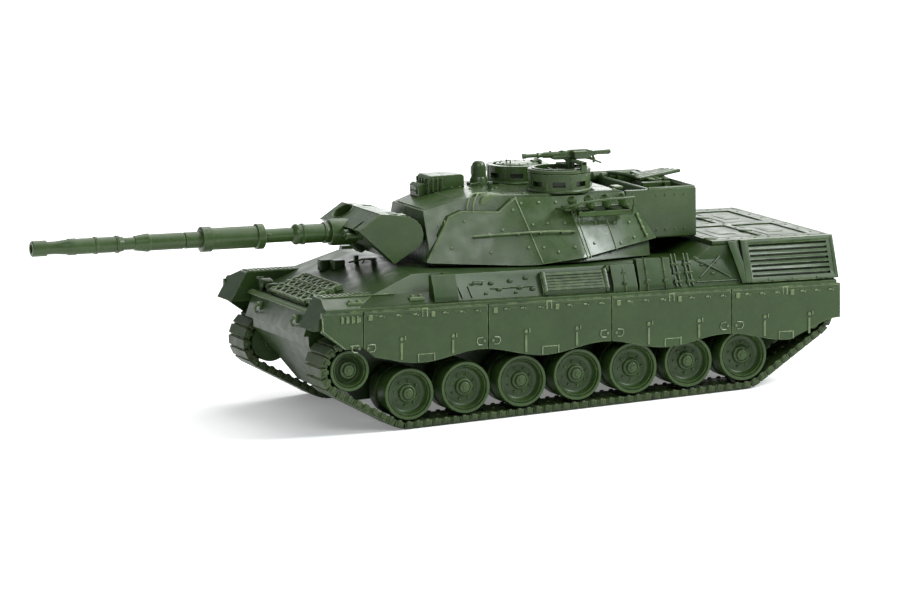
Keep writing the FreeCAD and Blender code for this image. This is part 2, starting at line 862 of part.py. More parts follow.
def gearbox_frame():
    """The bracket over the belly: a bearing plate on each side and a saddle under each motor."""
    floor = dim.belly_z + dim.tub_wall
    x, z = dim.sprocket_x, dim.sprocket_z
    gap = dim.running_gap
    front, back = motor_place(1)[0] + 3.6, motor_place(1)[0] + 5.2
    pieces, bores = [], []
    for side in (1, -1):
        low, high = span(side, dim.plate_low, dim.plate_high)
        pieces.append(block((x + 2.4, back), (low, high), (floor, z - 1.5)))
        pieces.append(block((x - 2, spindle_x() + 2), (low, high), (z - 2.2, z + 1.8)))
        bores.append(rod("y", low - 1, high + 1, dim.axle_radius + gap, u=x, w=z))
        bores.append(rod("y", low - 1, high + 1, dim.spindle_radius + gap, u=spindle_x(), w=z))
        motor_x, motor_z = motor_place(side)
        cradle = span(side, size(2), size(5))
        pieces.append(block((motor_x - 2, motor_x + 5.2), cradle, (floor, motor_z)))
        low, high = span(side, dim.motor_face - dim.motor_length, dim.motor_face)
        bores.append(rod("y", low, high, dim.motor_radius, u=motor_x, w=motor_z))
    pieces.append(block((front, back), (-dim.plate_high, dim.plate_high), (floor, floor + 1)))
    for pin_x, pin_z in pin_places():
        bores.append(rod("y", -14, 14, dim.pin_radius, u=pin_x, w=pin_z))
    return node("gearbox_frame", less(joined(*pieces), *bores))


def drive_motors():
    """The two small motors, lying across the hull one above the other."""

    def motor(side):
        x, z = motor_place(side)
        low, high = span(side, dim.motor_face - dim.motor_length, dim.motor_face)
        can = rod("y", low, high, dim.motor_radius, u=x, w=z)
        low, high = span(side, dim.motor_face, dim.motor_face + 0.06)
        return joined(can, rod("y", low, high, 1.0, u=x, w=z))

    return node("drive_motors", sides(motor))


def battery():
    """The flat cell on its two ribs."""
    low = dim.belly_z + 2.5
    cell = block((-43.4, -23.2), (-9, 9), (low, low + 6))
    lip = block((-23.2, -22.4), (-3, 3), (low + 1, low + 4))
    return node("battery", joined(cell, lip))


def control_board():
    """Receiver and motor driver board, with the power switch's case and the charging socket."""
    floor = dim.belly_z + dim.tub_wall
    board = block((-21.4, 6), (-9.2, 9.2), (floor + 2.2, floor + 3.0))
    case = less(
        block((-17.4, -11.6), (-1.6, 1.6), (floor, floor + 2.2)),
        block((-16.6, -12.4), (-0.8, 0.8), (floor - 0.1, floor + 1.0)),
    )
    socket = less(
        block((-6.2, -2.6), (-1.6, 1.6), (floor, floor + 2.2)),
        block((-5.6, -3.2), (-0.9, 0.9), (floor - 0.1, floor + 1.6)),
    )
    chips = [
        block((-19, -15.4), (-5.6, -2.0), (floor + 3.0, floor + 3.6)),
        block((-12.5, -9.5), (1.5, 5.5), (floor + 3.0, floor + 3.7)),
        block((-19, -17), (3.4, 6.4), (floor + 3.0, floor + 4.2)),
    ]
    return node("control_board", joined(board, case, socket, *chips))


def switch_knob():
    """The sliding knob of the power switch, in its slot under the belly."""
    floor = dim.belly_z + dim.tub_wall
    stem = block((-16.4, -15.0), (-0.7, 0.7), (dim.belly_z - 0.2, floor + 0.3))
    foot = block((-16.5, -14.9), (-0.75, 0.75), (floor + 0.1, floor + 0.8))
    return node("switch_knob", joined(stem, foot))


def hull_screws():
    """The four screws under the belly that hold the hull together."""

    def screw(x, y):
        head = rod("z", dim.belly_z - 0.5, dim.belly_z, 0.95, u=x, v=y)
        shank = rod("z", dim.belly_z - 0.1, dim.belly_z + 7.5, 0.5, u=x, v=y)
        slot = block((x - 1, x + 1), (y - 0.12, y + 0.12), (dim.belly_z - 0.6, dim.belly_z - 0.3))
        return less(joined(head, shank), slot)

    return node("hull_screws", [screw(x, y) for x, y in screw_places()])


# ---------------------------------------------------------------- turret


def turret_motor_u():
    reach = pitch_radius(dim.ring_teeth + dim.turret_pinion_teeth) + dim.mesh_gap
    return dim.turret_u + reach


def turret_motor():
    """The motor that turns the turret, upright in the hull roof's bracket."""
    u = turret_motor_u()
    can = rod("z", dim.ring_low - 10.4, dim.ring_low - 1.4, dim.motor_radius, u=u)
    return node("turret_motor", can, hull=True)


def turret_pinion():
    """The pinion on the turret motor's shaft."""
    u = turret_motor_u()
    teeth = dim.turret_pinion_teeth.number
    low, high = dim.ring_low.number, dim.ring_high.number
    solid = gear_face(teeth, 180).extrude(FreeCAD.Vector(0, 0, high - low - 0.2))
    solid.translate(FreeCAD.Vector(u.number, 0, low))
    stub = rod("z", dim.ring_low - 1.3, dim.ring_low + 0.5, 0.4, u=u)
    return node("turret_pinion", joined(stub, drawn("pinion_teeth", solid)), hull=True)


def turret_ring_gear():
    """The toothed ring under the roof that holds the turret down and turns it."""
    teeth = dim.ring_teeth.number
    low, high = dim.ring_low.number, dim.ring_high.number
    ring = gear_face(teeth, 180.0 / teeth, hole=9.0).extrude(FreeCAD.Vector(0, 0, high - low))
    ring.translate(FreeCAD.Vector(dim.turret_u.number, 0, low))
    return node("turret_ring_gear", drawn("ring_teeth_band", ring), hull=True)


def turret_base():
    """The turret's floor: a disc with a spigot through the roof and a narrow bearing land."""
    u = dim.turret_u
    disc = rod("z", dim.turret_w, dim.turret_floor, 13.5, u=u)
    land = rod("z", dim.roof_w + 0.05, dim.turret_w, 12.2, u=u)
    spigot = rod("z", dim.ring_high, dim.turret_w, dim.spigot_radius, u=u)
    well = rod("z", dim.ring_high - 1, dim.turret_floor + 1, 9.0, u=u)
    return node("turret_base", less(joined(disc, land, spigot), well), hull=True)


def side_wall(name, bottom, top, low, high):
    """A solid whose flanks rule from the bottom outline to the top one, both mirrored about v = 0."""
    wires = []
    for points, w in ((bottom, low), (top, high)):
        ring = [(u, v) for u, v in points] + [(u, -v) for u, v in reversed(points)]
        corners = [FreeCAD.Vector(u, v, w) for u, v in ring]
        wires.append(Part.makePolygon(corners + corners[:1]))
    return drawn(name, Part.makeLoft(wires, True, True))


SHELL_FOOT = [(2.1, 10.8), (-13.5, 16.2), (-22.0, 16.7), (-35.5, 13.3)]
SHELL_HEAD = [(2.1, 6.0), (-12.4, 11.0), (-21.6, 11.2), (-35.5, 11.0)]
ARMOUR_FOOT = [(3.4, 11.9), (-13.8, 17.2), (-22.0, 17.7), (-36.9, 14.3)]
ARMOUR_HEAD = [(0.4, 7.6), (-12.4, 12.0), (-21.6, 12.1), (-36.0, 12.0)]


def shell_loft():
    low, high = dim.turret_w.number, dim.turret_roof.number
    return side_wall("shell_flanks", SHELL_FOOT, SHELL_HEAD, low, high)


def roof_slopes():
    """The wedges cut from the turret roof: a long slope to the front, a short one to the rear."""
    top = dim.turret_roof
    front = [(3.6, top + 1), (3.6, 32.4), (2.1, 32.9), (-3.5, 34.6), (-7.5, top), (-7.5, top + 1)]
    rear = [(-30.5, top + 1), (-30.5, top), (-37.2, 33.2), (-37.2, top + 1)]
    return [slab("XZ_Plane", front, -20, 20), slab("XZ_Plane", rear, -20, 20)]


def turret_shell():
    """The cast turret: ruled flanks, sloped roof, conical inside and two ears for the gun."""
    inside = rod("z", dim.turret_floor, 34.2, 12.4, u=dim.turret_u, top_radius=9.0)
    seat = rod("z", dim.turret_w, dim.turret_floor, 13.5, u=dim.turret_u)
    body = less(shell_loft(), inside, seat, *roof_slopes())
    ears, bores = [], []
    u, w = dim.trunnion_u, dim.trunnion_w
    for side in (1, -1):
        low, high = span(side, size(4.9), size(6.1))
        ears.append(rod("y", low, high, 1.35, u=u, w=w))
        ears.append(block((1.5, u), (low, high), (w - 1.35, w + 1.35)))
        bores.append(rod("y", low - 0.1, high + 0.1, 0.8 + dim.running_gap, u=u, w=w))
    return node("turret_shell", less(joined(body, *ears), *bores), hull=True)


def armour_sides():
    """The bolted side armour before the shell is taken out of it."""
    low, high = dim.turret_w.number, dim.turret_roof.number
    whole = side_wall("armour_flanks", ARMOUR_FOOT, ARMOUR_HEAD, low, high)
    rise = [(-14, 23), (-14, 24.35), (-22, 25.1), (-38, 27.5), (-38, 23)]
    bow = [(4.5, 23), (4.5, 25.1), (2.6, 24.9), (-10, 24.35), (-10, 23)]
    return less(
        whole,
        slab("XZ_Plane", rise, -20, 20),
        slab("XZ_Plane", bow, -20, 20),
        *roof_slopes(),
    )


def turret_armour():
    """The add-on armour: one thick plate wrapped round each flank."""
    under = side_wall("armour_floor", SHELL_FOOT, SHELL_FOOT, dim.turret_w.number - 1, 26.0)
    front = block((0.6, 6), (-10.2, 10.2), (22, 37))
    rear = block((-38, -35.5), (-12.6, 12.6), (22, 37))
    top = block((-40, 5), (-20, 20), (34.8, 37))
    return node("turret_armour", less(armour_sides(), shell_loft(), under, front, rear, top), hull=True)


def bustle_basket():
    """The open stowage bin behind the turret."""
    outer = block((-44.2, -35.5), (-12.5, 12.5), (27.0, 35.2))
    inner = block((-43.4, -36.3), (-11.7, 11.7), (28.0, 36))
    return node("bustle_basket", less(outer, inner), hull=True)


def bustle_load():
    """The boards and rolled covers that fill the bin."""
    boards = block((-43.2, -36.5), (-11.5, 11.5), (28.0, 31.0))
    rolls = [
        rod("y", -11.2, 11.2, 1.9, u=-41.2, w=32.7),
        rod("y", -10.6, 10.6, 1.6, u=-38.1, w=32.5),
    ]
    return node("bustle_load", joined(boards, *rolls), hull=True)


def roof_sights():
    """The stepped sight housing, the domed periscope and a stub post on the roof."""
    housing = joined(
        block((-9.0, -2.6), (-8.0, -2.6), (33.6, 37.4)),
        block((-4.4, -1.2), (-7.4, -3.2), (33.2, 36.0)),
    )
    dome = joined(
        rod("z", 34, 37.6, 1.7, u=-12.5, v=-5, top_radius=1.1),
        rod("z", 37.6, 39.2, 1.1, u=-12.5, v=-5, top_radius=0.9),
    )
    post = rod("z", 34.5, 36.6, 0.4, u=-11.5, v=2.5)
    roof = block((-45, 4), (-20, 20), (30, dim.turret_roof))
    solid_roof = less(roof, *roof_slopes())
    return node("roof_sights", [less(piece, solid_roof) for piece in (housing, dome, post)], hull=True)


def cupola(label, u, v, top, lip):
    """A hatch ring with a closed lid, vision slots all round and a lip on top."""
    base = dim.turret_roof
    ring = rod("z", base, top, dim.cupola_radius, u=u, v=v)
    well = rod("z", top - 0.7, top + 1, dim.cupola_radius - 1.1, u=u, v=v)
    lid = rod("z", top - 0.7, top - 0.2, dim.cupola_radius - 1.6, u=u, v=v)
    slots = []
    for i in range(8):
        angle = 45.0 * i + 22.5
        slot = block((dim.cupola_radius - 0.9, dim.cupola_radius + 1), (-1.1, 1.1), (0, 0.9))
        turn = FreeCAD.Rotation(FreeCAD.Vector(0, 0, 1), angle)
        reach = dim.cupola_radius - 0.9
        x = u + reach * cosine(angle) + 1.1 * sine(angle)
        y = v + reach * sine(angle) - 1.1 * cosine(angle)
        slots.append(move(slot, x, y, base + 0.9, turn=turn))
    body = joined(less(ring, well, *slots), lid)
    if lip:
        collar = less(
            rod("z", top, top + 0.8, 4.55, u=u, v=v),
            rod("z", top - 0.1, top + 1, dim.cupola_radius - 1.1, u=u, v=v),
        )
        body = joined(body, collar)
    return node(label, body, hull=True)


def machine_gun():
    """The roof gun on its skate ring, with post, cradle and ammunition box."""
    u, v = dim.cupola_u, dim.cupola_v
    base = dim.cupola_w + 0.06
    ring = less(
        rod("z", base, base + 0.6, 5.2, u=u, v=v),
        rod("z", base - 1, base + 2, 4.55 + dim.running_gap, u=u, v=v),
    )
    post = block((-24.9, -23.9), (11.25, 12.1), (base + 0.3, 40.2))
    arm = block((-24.9, -23.9), (5.5, 12.1), (39.6, 40.4))
    receiver = block((-28.6, -22.0), (5.4, 6.6), (40.2, 41.7))
    barrel = rod("x", -22.2, -15.9, 0.33, v=6, w=40.9)
    butt = block((-31.6, -28.4), (5.7, 6.3), (40.6, 41.3))
    case = block((-26.6, -24.6), (6.4, 7.9), (40.3, 41.5))
    return node("machine_gun", joined(ring, post, arm, receiver, barrel, butt, case), hull=True)


def smoke_dischargers():
    """Four launcher tubes on a rail on each flank of the turret."""

    def bank(side):
        low, high = span(side, size(13.9), size(14.9))
        pieces = [block((-31.2, -19.8), (low, high), (32.6, 33.3))]
        for i in range(4):
            tube = doc.addObject("Part::Cylinder", "tube")
            bind(tube, "Radius", 0.75)
            bind(tube, "Height", 2.6)
            aim = FreeCAD.Rotation(FreeCAD.Vector(0, 0, 1), FreeCAD.Vector(0.6, side * 0.55, 0.6))
            pieces.append(move(tube, -30.4 + 2.9 * i, side * 14.5, 32.9, turn=aim))
        for u in (-29.5, -21.0):
            pieces.append(block((u, u + 1.2), span(side, size(12.6), size(14.2)), (32.6, 33.3)))
        rail = joined(*pieces)
        rail.Refine = False
        return rail

    return node("smoke_dischargers", sides(bank), hull=True)


# ---------------------------------------------------------------- gun


def mantlet():
    """The armoured gun shield: two cheeks, a nose round the barrel and the trunnion pins."""
    cheek = [
        (14.1, 30.5),
        (10.3, 33.0),
        (4.9, 32.3),
        (3.3, 31.2),
        (2.7, 29.4),
        (3.4, 27.4),
        (7.8, 24.75),
    ]
    body = slab("XZ_Plane", cheek, -dim.cheek_half, dim.cheek_half)
    recess = [(16, 24), (16, 35), (11.2, 35), (8.4, 31.6), (8.4, 27.4), (10.4, 24)]
    front = [slab("XZ_Plane", recess, -7.6, 7.6)]
    u, w = dim.trunnion_u, dim.trunnion_w
    nose = rod("x", 8, 16, dim.nose_radius, w=w + 0.1)
    slots = [
        block((2, u + 1.7), span(side, size(4.7), size(6.3)), (w - 2.9, w + 2.9))
        for side in (1, -1)
    ]
    pins = [rod("y", *span(side, size(4.6), size(6.4)), 0.8, u=u, w=w) for side in (1, -1)]
    bore = rod("x", 10, 17, 1.2, w=w + 0.1)
    shield = less(joined(less(body, *front), nose), *slots, bore)
    return node("mantlet", joined(shield, *pins), hull=True)


BARREL = [
    # (distance along the hull frame, radius), from the spigot to the muzzle
    (10.0, 1.2), (16.0, 1.2), (16.0, 1.65), (16.5, 1.65), (16.5, 1.75), (16.9, 1.75), (16.9, 1.55),
    (20.3, 1.55), (20.3, 1.85), (20.9, 1.85), (22.2, 1.55), (22.4, 1.15), (27.4, 1.15),
    (27.4, 2.1), (28.7, 2.1), (28.9, 1.8), (36.3, 1.8), (36.5, 2.1), (38.2, 2.1), (38.3, 1.35),
    (40.9, 1.35), (41.0, 1.15), (41.2, 1.35), (47.0, 1.35), (47.2, 1.5), (47.5, 1.5), (49.5, 1.2),
    (49.6, 1.0), (51.4, 1.0), (51.6, 1.2), (52.2, 1.3), (52.3, 1.45), (52.7, 1.45), (52.8, 1.3),
    (55.9, 1.3), (56.0, 1.45), (56.3, 1.45), (56.4, 1.3), (59.4, 1.3), (60.5, 1.4), (61.0, 1.3),
    (63.0, 1.05), (64.5, 1.05), (64.6, 1.3), (67.0, 1.3),
]


def gun_barrel():
    """The turned barrel with its sleeves, fume extractor and muzzle collar."""
    points = [(u, size(radius)) for u, radius in BARREL]
    mouth = [(67.0, dim.bore_radius), (61.0, dim.bore_radius), (61.0, size(0)), (10.0, size(0))]
    barrel = turned("x", points + mouth)
    return node("gun_barrel", move(barrel, 0, 0, dim.trunnion_w + 0.1), hull=True)


def build():
    lower_hull()
    upper_hull()
    engine_deck()
    rear_plate()
    skirt(1)
    skirt(-1)
    front_fenders()
    exhaust_grilles()
    side_stowage()
    front_lamps()
    spare_grouser_rack()
    wheels()
    wheel_axles()
    track(1)
    track(-1)
    drive_train(1)
    drive_train(-1)
    gearbox_frame()
    drive_motors()
    battery()
    control_board()
    switch_knob()
    hull_screws()
    turret_motor()
    turret_pinion()
    turret_ring_gear()
    turret_base()
    turret_shell()
    turret_armour()
    bustle_basket()
    bustle_load()
    roof_sights()
    cupola("loader_cupola", dim.cupola_u, dim.cupola_v, dim.cupola_w, True)
    cupola("commander_cupola", dim.cupola_u + 1.8, -dim.cupola_v, dim.cupola_w, False)
    machine_gun()
    smoke_dischargers()
    mantlet()
    gun_barrel()


def check_and_write():
    """Stop if anything in the document failed, then write every sub-part."""
    doc.recompute()
    failed = [thing for thing in doc.Objects if {"Invalid", "Error"} & set(thing.State)]
    if failed:
        told = ["%s: %s" % (thing.Label, thing.getStatusString()) for thing in failed]
        raise RuntimeError("not built: " + "; ".join(told))
    os.makedirs("parts", exist_ok=True)
    for piece in nodes:
        shape = piece.Shape
        if shape.isNull() or not shape.isValid() or not shape.Solids:
            raise RuntimeError("%s has no valid shape" % piece.Label)
        shape.exportStep("parts/%s.step" % piece.Label)
        print("%-24s %3d solids %10.2f mm3" % (piece.Label, len(shape.Solids), shape.Volume))
    print(len(nodes), "nodes")


build()
check_and_write()
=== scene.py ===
# %% [markdown]
# # A small radio-controlled tank, dressed in Blender
#
# The CAD model is the skeleton: 59 named parts on 27 joints, all in one shared frame. This lesson
# puts the finished surface on it. The real toy is moulded in one dark olive plastic, so its looks
# come from three things: soft moulded edges, a great many small fittings (bolts, hooks, seams,
# track links), and a satin finish that changes slightly from place to place.
#
# The CAD model is loaded first and its box is kept, so that the end of the lesson can print its size
# beside the size of the dressed model.

import math
from math import cos, radians, sin

import bpy
from mathutils import Matrix, Vector


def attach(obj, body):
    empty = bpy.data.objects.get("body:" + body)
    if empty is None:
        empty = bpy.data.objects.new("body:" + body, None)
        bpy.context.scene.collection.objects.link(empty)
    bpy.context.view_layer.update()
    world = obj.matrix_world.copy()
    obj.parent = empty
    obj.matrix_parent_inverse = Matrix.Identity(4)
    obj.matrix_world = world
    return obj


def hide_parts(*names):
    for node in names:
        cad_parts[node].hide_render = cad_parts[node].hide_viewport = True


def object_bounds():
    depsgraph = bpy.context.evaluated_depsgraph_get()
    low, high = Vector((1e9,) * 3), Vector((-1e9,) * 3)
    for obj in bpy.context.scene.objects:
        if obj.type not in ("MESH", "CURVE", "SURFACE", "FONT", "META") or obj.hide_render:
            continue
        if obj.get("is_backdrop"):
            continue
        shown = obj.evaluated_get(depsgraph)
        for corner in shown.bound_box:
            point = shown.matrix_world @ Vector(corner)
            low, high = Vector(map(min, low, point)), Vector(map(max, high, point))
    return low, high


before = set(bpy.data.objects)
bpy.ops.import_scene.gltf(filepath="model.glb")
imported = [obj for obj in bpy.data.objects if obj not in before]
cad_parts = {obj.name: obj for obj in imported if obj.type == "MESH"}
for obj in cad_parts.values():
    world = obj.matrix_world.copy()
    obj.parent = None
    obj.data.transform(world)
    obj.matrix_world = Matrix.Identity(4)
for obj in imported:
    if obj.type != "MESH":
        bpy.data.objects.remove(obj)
cad_box = [list(corner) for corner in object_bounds()]

# %% [markdown]
# ## Drawing in the hull's own frame
#
# The tank stands with its nose up by a few degrees, so its upper works are hard to describe in
# level coordinates. Like the CAD model, the lesson draws them in millimetres in a frame that leans
# with the hull (u forward, v to the left, w up), and the running gear in a level frame. Two matrices
# take a finished mesh from either drawing to its real place in metres.

# %% Two drawing frames
LEAN = radians(2.81)
MIDDLE = 0.505

level_frame = Matrix.Scale(0.001, 4) @ Matrix.Translation((MIDDLE, 0, 0))
hull_frame = level_frame @ Matrix.Rotation(-LEAN, 4, "Y")
print("hull leans", round(math.degrees(LEAN), 2), "degrees")

# %% [markdown]
# ## A small workshop
#
# Every piece is made the way it would be made by hand: add a primitive at its size and place, shape
# it in edit mode, soften its edges with a bevel, and apply the modifiers. The helpers here only save
# repeating those clicks. Two habits matter. Everything is deselected before a new piece is added,
# because an operator works on all that is selected. And the bevel is followed by a weighted-normal
# modifier, which keeps big faces flat in the light while their edges catch a highlight.

# %% Selecting and joining


def clear():
    if bpy.context.mode != "OBJECT":
        bpy.ops.object.mode_set(mode="OBJECT")
    bpy.ops.object.select_all(action="DESELECT")


def only(piece):
    clear()
    piece.select_set(True)
    bpy.context.view_layer.objects.active = piece
    return piece


def apply_place(piece):
    only(piece)
    bpy.ops.object.transform_apply(location=True, rotation=True, scale=True)
    return piece


def joined(pieces):
    """Several drawn pieces made one mesh."""
    clear()
    for piece in pieces:
        piece.select_set(True)
    bpy.context.view_layer.objects.active = pieces[0]
    if len(pieces) > 1:
        bpy.ops.object.join()
    return bpy.context.view_layer.objects.active


def twin(piece):
    """A copy of a piece, with its own mesh."""
    other = piece.copy()
    other.data = piece.data.copy()
    bpy.context.scene.collection.objects.link(other)
    return other


def mirrored(piece):
    """The piece itself, flipped to the other flank with its faces still outward."""
    piece.data.transform(Matrix.Scale(-1, 4, (0, 1, 0)))
    piece.data.flip_normals()
    return piece


def copies(piece, places):
    """The piece copied to each place, a matrix, and joined; the pattern itself is used up."""
    made = []
    for place in places:
        one = twin(piece)
        one.data.transform(place)
        made.append(one)
    bpy.data.objects.remove(piece)
    return joined(made)


def both_sides(piece):
    """The piece and its mirror image on the other flank."""
    return joined([piece, mirrored(twin(piece))])


print("workshop: selecting, joining and copying ready")

# %% Softening edges and smoothing


def soften(piece, width, segments=2, angle=28):
    """Bevel the sharp edges, then shade smooth with big faces kept flat."""
    only(piece)
    if width:
        edge = piece.modifiers.new("moulded_edges", "BEVEL")
        edge.width = width
        edge.segments = segments
        edge.limit_method = "ANGLE"
        edge.angle_limit = radians(angle)
        bpy.ops.object.modifier_apply(modifier=edge.name)
    bpy.ops.object.shade_smooth_by_angle(angle=radians(42))
    weigh = piece.modifiers.new("flat_faces", "WEIGHTED_NORMAL")
    weigh.keep_sharp = True
    bpy.ops.object.modifier_apply(modifier=weigh.name)
    return piece


def turn_about(axis, degrees, point):
    """A turn about an axis through a point, as a matrix."""
    there = Matrix.Translation(point)
    return there @ Matrix.Rotation(radians(degrees), 4, axis) @ there.inverted()


def block(u, v, w, edge=0.08, segments=1):
    """A soft-edged block between two corners."""
    low, high = Vector((u[0], v[0], w[0])), Vector((u[1], v[1], w[1]))
    clear()
    bpy.ops.mesh.primitive_cube_add(size=1, location=(low + high) / 2)
    piece = bpy.context.object
    piece.scale = high - low
    return soften(apply_place(piece), edge, segments)


FACING = {"x": (0, radians(90), 0), "y": (radians(-90), 0, 0), "z": (0, 0, 0)}


def rod(axis, low, high, radius, at=(0, 0), edge=0.06, sides=16):
    """A soft-edged bar along an axis; at is its place across that axis."""
    middle = (low + high) / 2
    place = {"x": (middle, *at), "y": (at[0], middle, at[1]), "z": (*at, middle)}[axis]
    clear()
    bpy.ops.mesh.primitive_cone_add(
        vertices=sides, radius1=radius, radius2=radius,
        depth=high - low, location=place, rotation=FACING[axis],
    )
    return soften(apply_place(bpy.context.object), edge, 1)


def wire(points, thick, sides=6, closed=False):
    """A bent rod along some points: a curve with a round bevel, made a mesh."""
    line = bpy.data.curves.new("bent_rod", "CURVE")
    line.dimensions = "3D"
    line.bevel_depth = thick / 2
    line.bevel_resolution = max(0, sides // 2 - 2)
    line.use_fill_caps = True
    run = line.splines.new("POLY")
    run.points.add(len(points) - 1)
    for knot, point in zip(run.points, points):
        knot.co = (*point, 1)
    run.use_cyclic_u = closed
    piece = bpy.data.objects.new("bent_rod", line)
    bpy.context.scene.collection.objects.link(piece)
    only(piece)
    bpy.ops.object.convert(target="MESH")
    piece = bpy.context.object
    bpy.ops.object.shade_smooth_by_angle(angle=radians(50))
    return piece


def outline_plate(points, axis, low, high, edge=0.08, segments=1):
    """A flat outline, given across an axis, extruded from low to high along it."""
    if axis == "x":
        corners = [(low, a, b) for a, b in points]
    elif axis == "y":
        corners = [(a, low, b) for a, b in points]
    else:
        corners = [(a, b, low) for a, b in points]
    mesh = bpy.data.meshes.new("outline")
    mesh.from_pydata(corners, [], [range(len(corners))])
    piece = bpy.data.objects.new("outline", mesh)
    bpy.context.scene.collection.objects.link(piece)
    only(piece)
    bpy.ops.object.mode_set(mode="EDIT")
    bpy.ops.mesh.select_all(action="SELECT")
    reach = Vector([high - low if axis == name else 0 for name in "xyz"])
    bpy.ops.mesh.extrude_region_move(TRANSFORM_OT_translate={"value": reach})
    bpy.ops.mesh.select_all(action="SELECT")
    bpy.ops.mesh.normals_make_consistent(inside=False)
    bpy.ops.object.mode_set(mode="OBJECT")
    return soften(piece, edge, segments)


def lathe(profile, axis, at=(0, 0), steps=48, edge=0.0):
    """A closed half-section of (along, radius) points, spun about an axis in edit mode."""
    points = [(radius, 0, along) for along, radius in profile]
    mesh = bpy.data.meshes.new("turning")
    ring = [(i, i + 1) for i in range(len(points) - 1)]
    mesh.from_pydata(points, ring, [])
    piece = bpy.data.objects.new("turning", mesh)
    bpy.context.scene.collection.objects.link(piece)
    only(piece)
    bpy.ops.object.mode_set(mode="EDIT")
    bpy.ops.mesh.select_all(action="SELECT")
    bpy.ops.mesh.spin(steps=steps, angle=radians(360), center=(0, 0, 0), axis=(0, 0, 1))
    bpy.ops.mesh.select_all(action="SELECT")
    bpy.ops.mesh.remove_doubles(threshold=0.0005)
    bpy.ops.mesh.normals_make_consistent(inside=False)
    bpy.ops.object.mode_set(mode="OBJECT")
    piece.rotation_euler = FACING[axis]
    piece.location = {"x": (0, *at), "y": (at[0], 0, at[1]), "z": (*at, 0)}[axis]
    return soften(apply_place(piece), edge, 1)


print("workshop: blocks, rods, wires, plates and turnings ready")

# %% [markdown]
# ## Handing a piece over
#
# A finished piece goes to its real place in metres with its object at the origin, gets its finish,
# and is told which CAD body it rides on. If it stands for a CAD node, that node is hidden.
# A CAD part whose shape is already right is copied: the copy's loose triangles are merged, flat faces
# are cleaned, and its edges are softened like every other moulded edge.

# %% Settling a piece on its body


def settle(piece, name, body, finish, place=hull_frame, stands_for=()):
    """Put a drawn piece in its real place, name it, and let it ride on its body."""
    only(piece)
    piece.data.transform(place)
    piece.name = name
    piece.data.name = name
    piece.data.materials.clear()
    piece.data.materials.append(finish)
    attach(piece, body)
    if stands_for:
        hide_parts(*([stands_for] if isinstance(stands_for, str) else stands_for))
    print(name, "on", body + ",", faces_of(piece), "triangles")
    return piece


def cast_from(node, place=hull_frame, edge=0.0, segments=2, angle=28):
    """A clean copy of a CAD part in drawing millimetres, its edges softened."""
    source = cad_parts[node]
    piece = bpy.data.objects.new(node + "_cast", source.data.copy())
    bpy.context.scene.collection.objects.link(piece)
    piece.data.transform(place.inverted())
    only(piece)
    bpy.ops.object.mode_set(mode="EDIT")
    bpy.ops.mesh.select_all(action="SELECT")
    bpy.ops.mesh.remove_doubles(threshold=0.002)
    bpy.ops.mesh.customdata_custom_splitnormals_clear()
    bpy.ops.mesh.dissolve_limited(angle_limit=radians(1.0))
    bpy.ops.object.mode_set(mode="OBJECT")
    return soften(piece, edge, segments, angle)


def faces_of(piece):
    return sum(len(face.vertices) - 2 for face in piece.data.polygons)


print("workshop: settling and casting ready")
# %% [markdown]
# ## The moulded olive plastic
#
# One plastic covers almost all of the toy, yet it isn't one flat colour. The pigment drifts slightly,
# edges and bolt heads are painted lighter and yellower, part wear and part painted highlight, hollows
# are painted darker as painted shade, and a fine mould texture breaks up the highlights. The material
# is built from nodes so that it needs no pictures: a large soft noise moves the colour, the Bevel node
# finds edges by comparing a rounded normal with the real one, ambient occlusion finds the hollows for
# the painted shade, and two finer noises vary roughness and bump.
# All of them read Object coordinates, so the pattern stays fixed to each part as it moves.

# %% Node helpers and the plastic


def new_finish(name):
    finish = bpy.data.materials.new(name)
    finish.use_nodes = True
    nodes, links = finish.node_tree.nodes, finish.node_tree.links
    shader = nodes["Principled BSDF"]
    place = nodes.new("ShaderNodeTexCoord")
    return finish, nodes, links, shader, place.outputs["Object"]


def grain(nodes, links, place, scale, detail, stretch=(1, 1, 1)):
    """A noise over the object's own coordinates, its pattern stretched by a Mapping node."""
    mapping = nodes.new("ShaderNodeMapping")
    mapping.inputs["Scale"].default_value = stretch
    noise = nodes.new("ShaderNodeTexNoise")
    noise.inputs["Scale"].default_value = scale
    noise.inputs["Detail"].default_value = detail
    links.new(place, mapping.inputs["Vector"])
    links.new(mapping.outputs["Vector"], noise.inputs["Vector"])
    return noise.outputs["Fac"]


def ramp(nodes, links, value, low, high, first, last):
    """The value from low to high read as a number or a colour from first to last."""
    spread = nodes.new("ShaderNodeValToRGB")
    spread.color_ramp.elements[0].position = low
    spread.color_ramp.elements[1].position = high
    for element, shade in zip(spread.color_ramp.elements, (first, last)):
        element.color = (*shade, 1) if isinstance(shade, tuple) else (shade, shade, shade, 1)
    links.new(value, spread.inputs["Fac"])
    return spread.outputs["Color"]


def mixed(nodes, links, amount, a, b, mode="MIX"):
    """Two colours mixed; each may be a socket or a plain colour."""
    mix = nodes.new("ShaderNodeMix")
    mix.data_type = "RGBA"
    mix.blend_type = mode
    sockets = {s.identifier: s for s in mix.inputs}
    for key, value in (("Factor_Float", amount), ("A_Color", a), ("B_Color", b)):
        if isinstance(value, bpy.types.NodeSocket):
            links.new(value, sockets[key])
        elif isinstance(value, tuple):
            sockets[key].default_value = (*value, 1)
        else:
            sockets[key].default_value = value
    return [s for s in mix.outputs if s.identifier == "Result_Color"][0]


